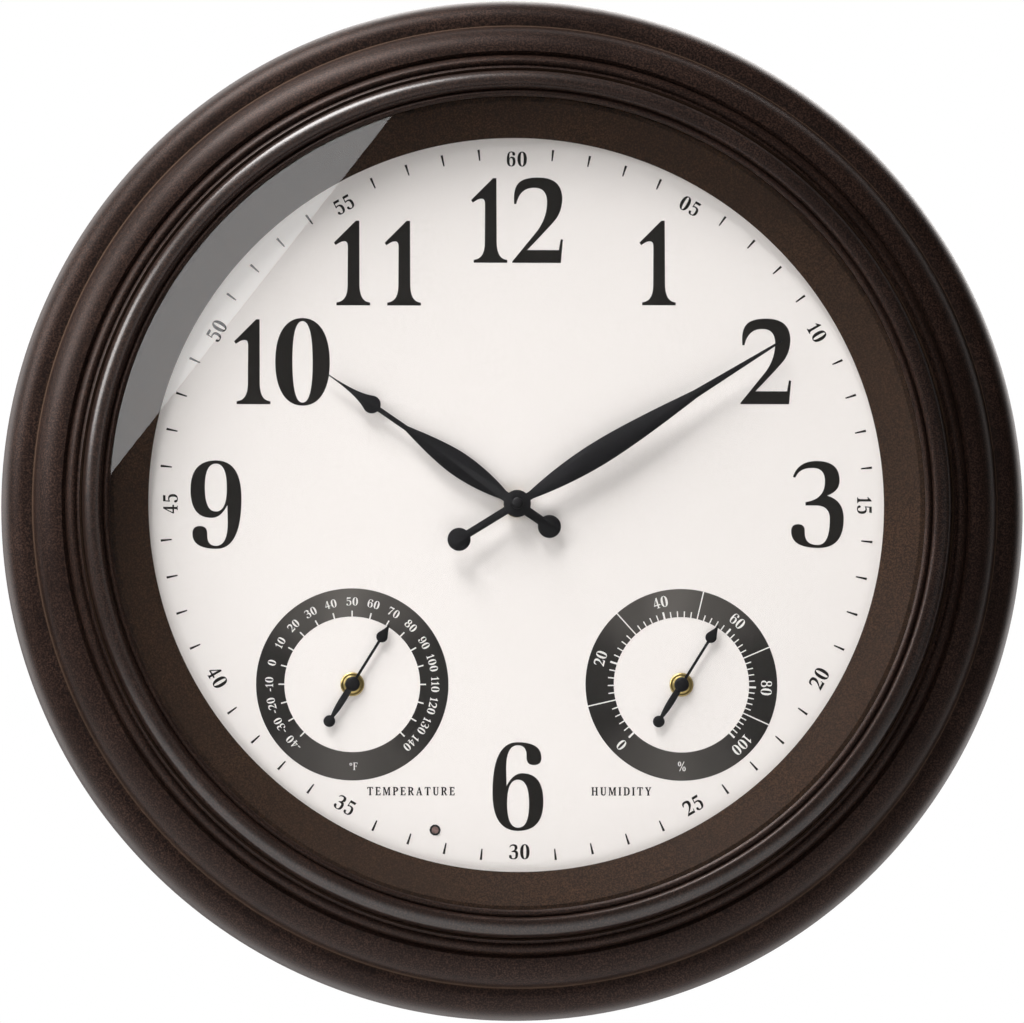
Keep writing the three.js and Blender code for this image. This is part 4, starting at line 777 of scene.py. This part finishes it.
def tick(inner, outer, degrees, innerWidth, outerWidth, centre=(0, 0)):
    # a short tapered stroke across a circle
    line, angle = [], math.radians(degrees)
    for radius, side in ((inner, -innerWidth), (inner, innerWidth), (outer, outerWidth),
                         (outer, -outerWidth)):
        x, z = around(radius, degrees, centre)
        line.append((x + side / 2 * math.cos(angle), z - side / 2 * math.sin(angle)))
    return line


def printed(name, contours, ahead, finish, thickness=0.04):
    # a flat filled curve, made a mesh and laid on the dial
    curve = bpy.data.curves.new(name, "CURVE")
    curve.dimensions = "2D"
    curve.fill_mode = "BOTH"
    curve.extrude = thickness / 2 * mm
    for contour in contours:
        spline = curve.splines.new("POLY")
        spline.points.add(len(contour) - 1)
        for point, (x, z) in zip(spline.points, contour):
            point.co = (x * mm, z * mm, 0, 1)
        spline.use_cyclic_u = True
    piece = bpy.data.objects.new(name, curve)
    bpy.context.scene.collection.objects.link(piece)
    onlySelect(piece)
    bpy.ops.object.convert(target="MESH")
    piece = bpy.context.object
    piece.rotation_euler = (math.pi / 2, 0, 0)
    piece.location = placed(0, 0, ahead + thickness / 2)
    bpy.ops.object.transform_apply(location=True, rotation=True, scale=True)
    bpy.ops.object.mode_set(mode="EDIT")
    bpy.ops.mesh.select_all(action="SELECT")
    bpy.ops.mesh.remove_doubles(threshold=0.000001)
    bpy.ops.object.mode_set(mode="OBJECT")
    return dressed(piece, finish)


# Dial: hour numerals, minute track, captions

dial = {
    "front": 42.3, "inkLift": 0.01,
    "hours": {"12": (0.9, 155.6), "1": (77.6, 132.6), "2": (136.5, 78.6), "3": (164.2, 0.6),
              "6": (0.3, -153.9), "9": (-163.5, -0.6), "10": (-127.5, 77.8), "11": (-75.4, 132)},
    "hourHeight": 46.4, "hourSqueeze": 0.99, "hourGap": 0.058, "hourGaps": {"11": 0.172},
    "tickInner": 188.9, "tickOuter": 195.0, "tickWide": 1.3, "tickThin": 0.7, "trackCentre": (0.4, 0.4),
    "minuteRadius": 189.2, "minuteHeight": 7.8, "minuteSqueeze": 0.98, "minuteGap": 0.16,
    "minuteWeight": 0.11, "numberCentre": (0.9, 0.1),
    "captionHeight": 4.3, "captionSqueeze": 1.05, "captionGap": 0.31, "captionWeight": 0.13,
    "captions": {"TEMPERATURE": (-57.9, -156.2), "HUMIDITY": (56.6, -156.2)},
}


def printDial():
    d = dial
    lift = d["front"] + d["inkLift"]
    hours = []
    for text, place in d["hours"].items():
        gap = d["hourGaps"].get(text, d["hourGap"])
        hours += word(text, d["hourHeight"], place, 0, d["hourSqueeze"], gap, 12)
    printed("hour_numerals", hours, lift, "ink")
    track = []
    for minute in range(60):
        if minute % 5:
            track.append(tick(d["tickInner"], d["tickOuter"], minute * 6, d["tickThin"], d["tickWide"],
                              d["trackCentre"]))
        else:
            angle, text = minute * 6, "%02d" % (minute or 60)
            flip = 180 if 90 < angle < 270 else 0
            place = around(d["minuteRadius"], angle, d["numberCentre"])
            number = word(text, d["minuteHeight"], place, angle + flip, d["minuteSqueeze"], d["minuteGap"], 4)
            track += spread(number, d["minuteWeight"])
    printed("minute_track", track, lift, "ink")
    captions = []
    for text, place in d["captions"].items():
        line = word(text, d["captionHeight"], place, 0, d["captionSqueeze"], d["captionGap"], 3)
        captions += spread(line, d["captionWeight"])
    printed("gauge_captions", captions, lift, "ink")


gaugeScale = {
    "offset": 89.6, "drop": 98.1, "inner": 36.9, "outer": 52.3, "numberRadius": 45.2, "numberHeight": 4.3,
    "numberSqueeze": 1.08, "numberGap": 0.15, "numberWeight": 0.01, "tickReach": 3.2, "tickWidth": 0.75,
    "tickSunk": 0.15, "marksLift": 0.05, "signGap": 0.12,
    "warmth": {"lowest": -40, "highest": 140, "middle": 50, "turn": 1.5, "sign": (0.6, -44.6),
               "signHeight": 4, "signSqueeze": 1.05},
    "damp": {"numberHeight": 5.8, "numberRadius": 46.4, "longTick": 0.6, "longWidth": 1.4, "shortWidth": 0.85,
             "over": 0.3, "sign": (0, -44.5), "signHeight": 5.2},
    "humidity": {0: -135, 10: -103, 20: -72, 30: -42, 40: -14, 50: 13.7, 60: 41.5, 70: 66.8, 80: 92,
                 90: 114.6, 100: 135},
}


def gaugeBand(name, side):
    s = gaugeScale
    centre = (side * s["offset"], -s["drop"])
    rings = [circleLine(s["outer"], centre), circleLine(s["inner"], centre)]
    printed(name + "_band", rings, dial["front"] + dial["inkLift"], "scaleInk")
    return centre


def gaugeMarks(name, marks):
    printed(name + "_marks", marks, dial["front"] + dial["inkLift"] + gaugeScale["marksLift"], "whiteInk")


def gaugeTick(centre, angle, reach, width):
    inner = gaugeScale["inner"]
    return tick(inner - gaugeScale["tickSunk"], inner + reach, angle, width, width, centre)


def gaugeSign(text, look, centre):
    place = (centre[0] + look["sign"][0], centre[1] + look["sign"][1])
    line = word(text, look["signHeight"], place, 0, look.get("signSqueeze", 1), gaugeScale["signGap"])
    return spread(line, gaugeScale["numberWeight"])


def printThermometer():
    s, look = gaugeScale, gaugeScale["warmth"]
    centre = gaugeBand("thermometer", -1)
    marks = []
    for degrees in range(look["lowest"], look["highest"] + 1, 10):
        angle = (degrees - look["middle"]) * look["turn"]
        marks.append(gaugeTick(centre, angle, s["tickReach"], s["tickWidth"]))
        number = arcWord(str(degrees), s["numberHeight"], s["numberRadius"], angle, centre,
                         s["numberSqueeze"], s["numberGap"])
        marks += spread(number, s["numberWeight"])
    gaugeMarks("thermometer", marks + gaugeSign("oF", look, centre))


def printHygrometer():
    s, look = gaugeScale, gaugeScale["damp"]
    centre = gaugeBand("hygrometer", 1)
    marks = []
    for value in range(0, 101, 2):
        low = value // 10 * 10
        start, end = s["humidity"][low], s["humidity"].get(low + 10, s["humidity"][100])
        angle = start + (end - start) * (value - low) / 10
        reach, width = s["tickReach"], s["tickWidth"] * look["shortWidth"]
        if value % 20 == 0:
            reach, width = reach + look["longTick"], s["tickWidth"] * look["longWidth"]
        elif value % 20 == 10:
            reach = s["outer"] - s["inner"] + look["over"]   # these cross the whole band
        marks.append(gaugeTick(centre, angle, reach, width))
        if value % 20 == 0:
            number = arcWord(str(value), look["numberHeight"], look["numberRadius"], angle, centre)
            marks += spread(number, s["numberWeight"])
    gaugeMarks("hygrometer", marks + gaugeSign("%", look, centre))


printDial()
printThermometer()
printHygrometer()
print("dial is printed")


# Hands, drawn pointing at twelve and then turned

minuteHand = {
    "turn": 58.3, "back": 49.3, "thickness": 0.8, "bossThickness": 1.2, "boss": 7.4, "bore": 1.8,
    "tip": 170.9, "tipWidth": 1, "shoulder": 114.4, "shoulderWidth": 4.4, "leaf": 53.5, "leafWidth": 13.2,
    "root": 9, "rootWidth": 4.4, "tail": 37.3, "tailWidth": 4.2, "ball": 6.3, "edge": 0.16,
}
hourHand = {
    "turn": 304.5, "back": 45.9, "thickness": 0.8, "bossThickness": 1.2, "boss": 6.2, "bore": 3.0,
    "tip": 124.7, "drop": 95.7, "dropRadius": 4.9, "neckTop": 90.6, "neck": 72.8, "neckWidth": 2.7,
    "leaf": 37.8, "leafWidth": 13.2, "root": 9, "rootWidth": 5.4, "tail": 21.5, "tailWidth": 5, "ball": 6.3,
    "edge": 0.16,
}
dropShape = {"shoulder": 68, "pull": 0.4, "pullUp": 1.9, "tip": 0.25}
hubCap = {
    "outline": [(1.5, 50.8), (3.1, 50.8), (3.1, 51.8), (2.9, 52.25), (2.3, 52.6), (1.2, 52.8), (0, 52.8),
                (0, 52.1), (1.5, 52.1)],
    "steps": 64, "crease": 40,
}


def ballHalf(hand, joinWidth):
    # from the ball's foot round to where the stem meets it
    end = 180 - math.degrees(math.asin(joinWidth / 2 / hand["ball"]))
    return [around(hand["ball"], 180 - end * i / 16, (0, -hand["tail"])) for i in range(17)]


def leafHalf(hand, top, topWidth):
    middle = (hand["leafWidth"] / 2, hand["leaf"])
    low = (hand["rootWidth"] / 2, hand["root"])
    lower = [low] + bend(low, (hand["leafWidth"] / 2, (hand["root"] + hand["leaf"]) / 2), middle, 12)
    pull = (hand["leafWidth"] / 2, (2 * hand["leaf"] + top) / 3)
    return lower + bend(middle, pull, (topWidth / 2, top), 14)


def dropHalf(hand, stemWidth):
    start = 180 - math.degrees(math.asin(stemWidth / 2 / hand["dropRadius"]))
    middle, turn = (0, hand["drop"]), start - dropShape["shoulder"]
    side = [around(hand["dropRadius"], start - turn * i / 10, middle) for i in range(11)]
    pull = (dropShape["pull"], hand["drop"] + dropShape["pullUp"] * hand["dropRadius"])
    return side + bend(side[-1], pull, (dropShape["tip"], hand["tip"]), 12)


def makeHand(name, outline, hand, body):
    plate = sheet(name, outline, hand["back"], hand["thickness"])
    boss = sheet(name + "Boss", circleLine(hand["boss"], steps=64), hand["back"], hand["bossThickness"])
    combined(plate, boss, "UNION")
    bored(plate, hand["bore"])
    softEdge(plate, hand["edge"])
    smoothed(plate)
    settle(plate, (0, 0), hand["turn"])
    dressed(plate, "hand", name.replace("_blade", "_hand"), body)


def makeHands():
    hand = minuteHand
    half = ballHalf(hand, hand["tailWidth"]) + leafHalf(hand, hand["shoulder"], hand["shoulderWidth"])
    half.append((hand["tipWidth"] / 2, hand["tip"]))
    makeHand("minute_blade", mirrored(half), hand, "minute_set")
    hand = hourHand
    half = ballHalf(hand, hand["tailWidth"]) + leafHalf(hand, hand["neck"], hand["neckWidth"])
    half += [(hand["neckWidth"] / 2, hand["neckTop"])] + dropHalf(hand, hand["neckWidth"])
    makeHand("hour_blade", mirrored(half), hand, "hour_set")
    nut = spun("hub_cap", hubCap["outline"], hubCap["steps"], hubCap["crease"])
    dressed(nut, "hand", "hand_nut", "minute_set")


makeHands()
print("hands are made")


# Gauge pointers and their brass bushes

gaugeHand = {
    "turn": 32, "back": 44.0, "thickness": 0.6, "tip": 38, "drop": 30.4, "dropRadius": 3.1, "stemWidth": 1.5,
    "tail": 23.8, "tailRoot": 2.0, "ball": 3.2, "edge": 0.12,
    "tailCurve": ((1.0, -20.5), (2.3, -14), (1.6, -3)), "stemReach": 3,
    "boss": [(0, 44.0), (4, 44.0), (4, 44.7), (3.7, 45.0), (3.0, 45.2), (2, 45.3), (0, 45.3)],
    "bush": [(1.1, 41.0), (3, 41.0), (3, 42.6), (6.5, 42.6), (6.5, 42.9), (6.3, 43.25), (5.9, 43.45),
             (5.5, 43.3), (5.2, 42.95), (4.9, 42.9), (4.6, 43.1), (4.3, 43.3), (1.1, 43.3)],
}


def makePointer(name, side):
    hand = gaugeHand
    stem, reach = hand["stemWidth"] / 2, hand["stemReach"]
    centre = (side * gaugeScale["offset"], -gaugeScale["drop"])
    half = ballHalf(hand, hand["tailRoot"]) + bend(*hand["tailCurve"], 8)
    half += [(stem, reach), (stem, hand["drop"] - reach)] + dropHalf(hand, hand["stemWidth"])
    plate = sheet(name + "_needle", mirrored(half), hand["back"], hand["thickness"])
    combined(plate, spun("needleBoss", hand["boss"], 48, 40), "UNION")
    softEdge(plate, hand["edge"])
    smoothed(plate)
    settle(plate, centre, hand["turn"])
    dressed(plate, "hand", name + "_pointer", name + "_set")
    bush = settle(spun(name + "_flange", hand["bush"], 64, 40), centre)
    dressed(bush, "brass", name + "_bush")


makePointer("thermometer", -1)
makePointer("hygrometer", 1)
print("gauge pointers are made")


# Cells, seen with the door open and through the movement's window

cells = {
    "large": {"radius": 17.1, "length": 61.5, "nub": 4.75, "nubHeight": 1.5, "wrap": (1.6, 58.8)},
    "small": {"radius": 7.25, "length": 50.5, "nub": 2.7, "nubHeight": 1, "wrap": (0.9, 48.9)},
    "nodes": {"battery_cell_1": ("large", -1), "battery_cell_2": ("large", -1),
              "battery_cell_3": ("large", 1), "battery_cell_4": ("large", 1), "movement_cell": ("small", 1)},
}


def lying(name, outline, way, node):
    # the outline is (radius, along) from the cell's middle; the cell lies across, its nub on one side
    low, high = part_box(node)
    piece = spun(name, [(radius, wallDepth + along) for radius, along in outline], 64, 30)
    onlySelect(piece)
    piece.rotation_euler = (0, 0, math.radians(90 * way))
    piece.location = (low + high) / 2
    bpy.ops.object.transform_apply(location=True, rotation=True, scale=True)
    return piece


def makeCell(node, size, way):
    c = cells[size]
    radius, length, nub = c["radius"], c["length"], c["nub"]
    top = length - c["nubHeight"]
    can = [(0, 0.3), (radius * 0.78, 0.3), (radius * 0.82, 0), (radius - 0.9, 0), (radius - 0.3, 0.5),
           (radius - 0.25, 1.2), (radius - 0.25, top - 1.2), (radius - 0.9, top - 0.3),
           (radius * 0.8, top - 0.2), (radius * 0.72, top - 0.5), (nub + 1.1, top - 0.4), (nub + 0.2, top),
           (nub, length - 0.4), (nub - 0.4, length), (0, length)]
    start, end = c["wrap"]
    wrap = [(radius - 0.5, start), (radius - 0.06, start), (radius, start + 0.15), (radius, end - 0.15),
            (radius - 0.06, end), (radius - 0.5, end)]
    middle = length / 2
    body = lying(node + "_can", [(r, a - middle) for r, a in can], way, node)
    dressed(body, "steel", node)
    skin = lying(node + "_wrap", [(r, a - middle) for r, a in wrap], way, node)
    dressed(skin, "cell")


for node, (size, way) in cells["nodes"].items():
    makeCell(node, size, way)
print("cells are made")


# Screws of the cover and of the hanger, and the cover's raised edge

fixings = {
    "circle": 262.5, "count": 8, "head": 3.2, "back": 0.8, "seat": 2, "shank": 1.4, "reach": 5.0,
    "slotLength": 3.8, "slotWidth": 0.8, "slotFloor": 1.45,
    "hangerSpread": 25, "hangerHeight": 216.2, "hangerHead": 1.7, "hangerBack": 0.5, "hangerFront": 1.6,
    "hangerSlot": (2.2, 0.6, 1.0), "turnStep": 17, "hangerTurns": (-10, 50),
    "edge": [(264.6, 1.9), (265.2, 1.3), (268.3, 1.3), (268.8, 1.8), (268.8, 2.6), (264.6, 2.6)],
}


def crossCut(piece, length, width, floor):
    # a cross slot, cut from behind down to its floor while the screw still stands on the clock's axis
    for across, tall in ((length, width), (width, length)):
        bpy.ops.object.select_all(action="DESELECT")
        bpy.ops.mesh.primitive_cube_add(size=1, location=placed(0, 0, floor - 2))
        cutter = bpy.context.object
        cutter.scale = (across * mm, 4 * mm, tall * mm)
        bpy.ops.object.transform_apply(location=False, rotation=False, scale=True)
        combined(piece, cutter, "DIFFERENCE")
    return piece


def makeFixings():
    f = fixings
    head, back, seat = f["head"], f["back"], f["seat"]
    side = [(0, back), (head * 0.7, back + 0.1), (head, back + 0.6), (head, seat), (f["shank"], seat),
            (f["shank"], f["reach"]), (0, f["reach"])]
    screws = []
    for i in range(f["count"]):
        screw = spun("cover_screw_" + str(i + 1), side, 32, 30)
        crossCut(screw, f["slotLength"], f["slotWidth"], f["slotFloor"])
        place = around(f["circle"], (i + 0.5) * 360 / f["count"])
        screws.append(settle(screw, place, i * f["turnStep"]))
    head, back, front = f["hangerHead"], f["hangerBack"], f["hangerFront"]
    flat = [(0, back), (head, back), (head, front), (0, front)]
    for i, way in enumerate((-1, 1)):
        screw = spun("hanger_screw_" + str(i + 1), flat, 32, 30)
        crossCut(screw, *f["hangerSlot"])
        screws.append(settle(screw, (way * f["hangerSpread"], f["hangerHeight"]), f["hangerTurns"][i]))
    for screw in screws:
        dressed(screw, "steel")
    dressed(spun("cover_edge", f["edge"], 256, 30), "blackPlastic")


makeFixings()
print("screws and the cover's edge are made")


# Carried-over pieces get their finishes

nodeFinishes = {
    "rubber": ["glass_gasket", "shaft_gasket"],
    "glass": ["glass_lens"],
    "dial": ["dial_plate"],
    "boardWhite": ["lamp_strip"],
    "blackPlastic": ["rear_cover", "battery_tray", "battery_door", "switch_body", "switch_slider",
                     "sensor_sleeve", "movement_case", "movement_lid", "setting_knob"],
    "steel": ["keyhole_hanger", "battery_contact_bridge", "battery_contact_upper", "battery_contact_lower",
              "movement_contact_left", "movement_contact_right", "motor_stator", "motor_core"],
    "cell": ["battery_cell_1", "battery_cell_2", "battery_cell_3", "battery_cell_4", "movement_cell",
             "motor_rotor"],
    "boardGreen": ["control_board", "movement_board"],
    "sensor": ["light_sensor"],
    "lead": ["battery_lead", "lamp_lead"],
    "brass": ["shaft_washer", "shaft_nut", "minute_arbor", "thermometer_staff", "hygrometer_staff",
              "thermometer_bush", "hygrometer_bush"],
    "wheelPlastic": ["motion_wheel", "hour_wheel", "first_wheel", "second_wheel", "third_wheel",
                     "centre_wheel"],
    "greyPlastic": ["train_plate", "thermometer_cup", "hygrometer_cup"],
    "copper": ["motor_coil"],
    "bimetal": ["thermometer_coil", "hygrometer_coil"],
    "bronze": ["outer_frame"],
    "brown": ["lamp_shade"],
    "hand": ["hour_hand", "minute_hand", "hand_nut", "thermometer_pointer", "hygrometer_pointer"],
}


def finishNodes():
    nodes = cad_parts
    for finish, names in nodeFinishes.items():
        for name in names:
            nodes[name].data.materials.clear()
            nodes[name].data.materials.append(finishes[finish])
    print("nodes without a finish:", sorted(set(nodes) - set(sum(nodeFinishes.values(), []))))


finishNodes()
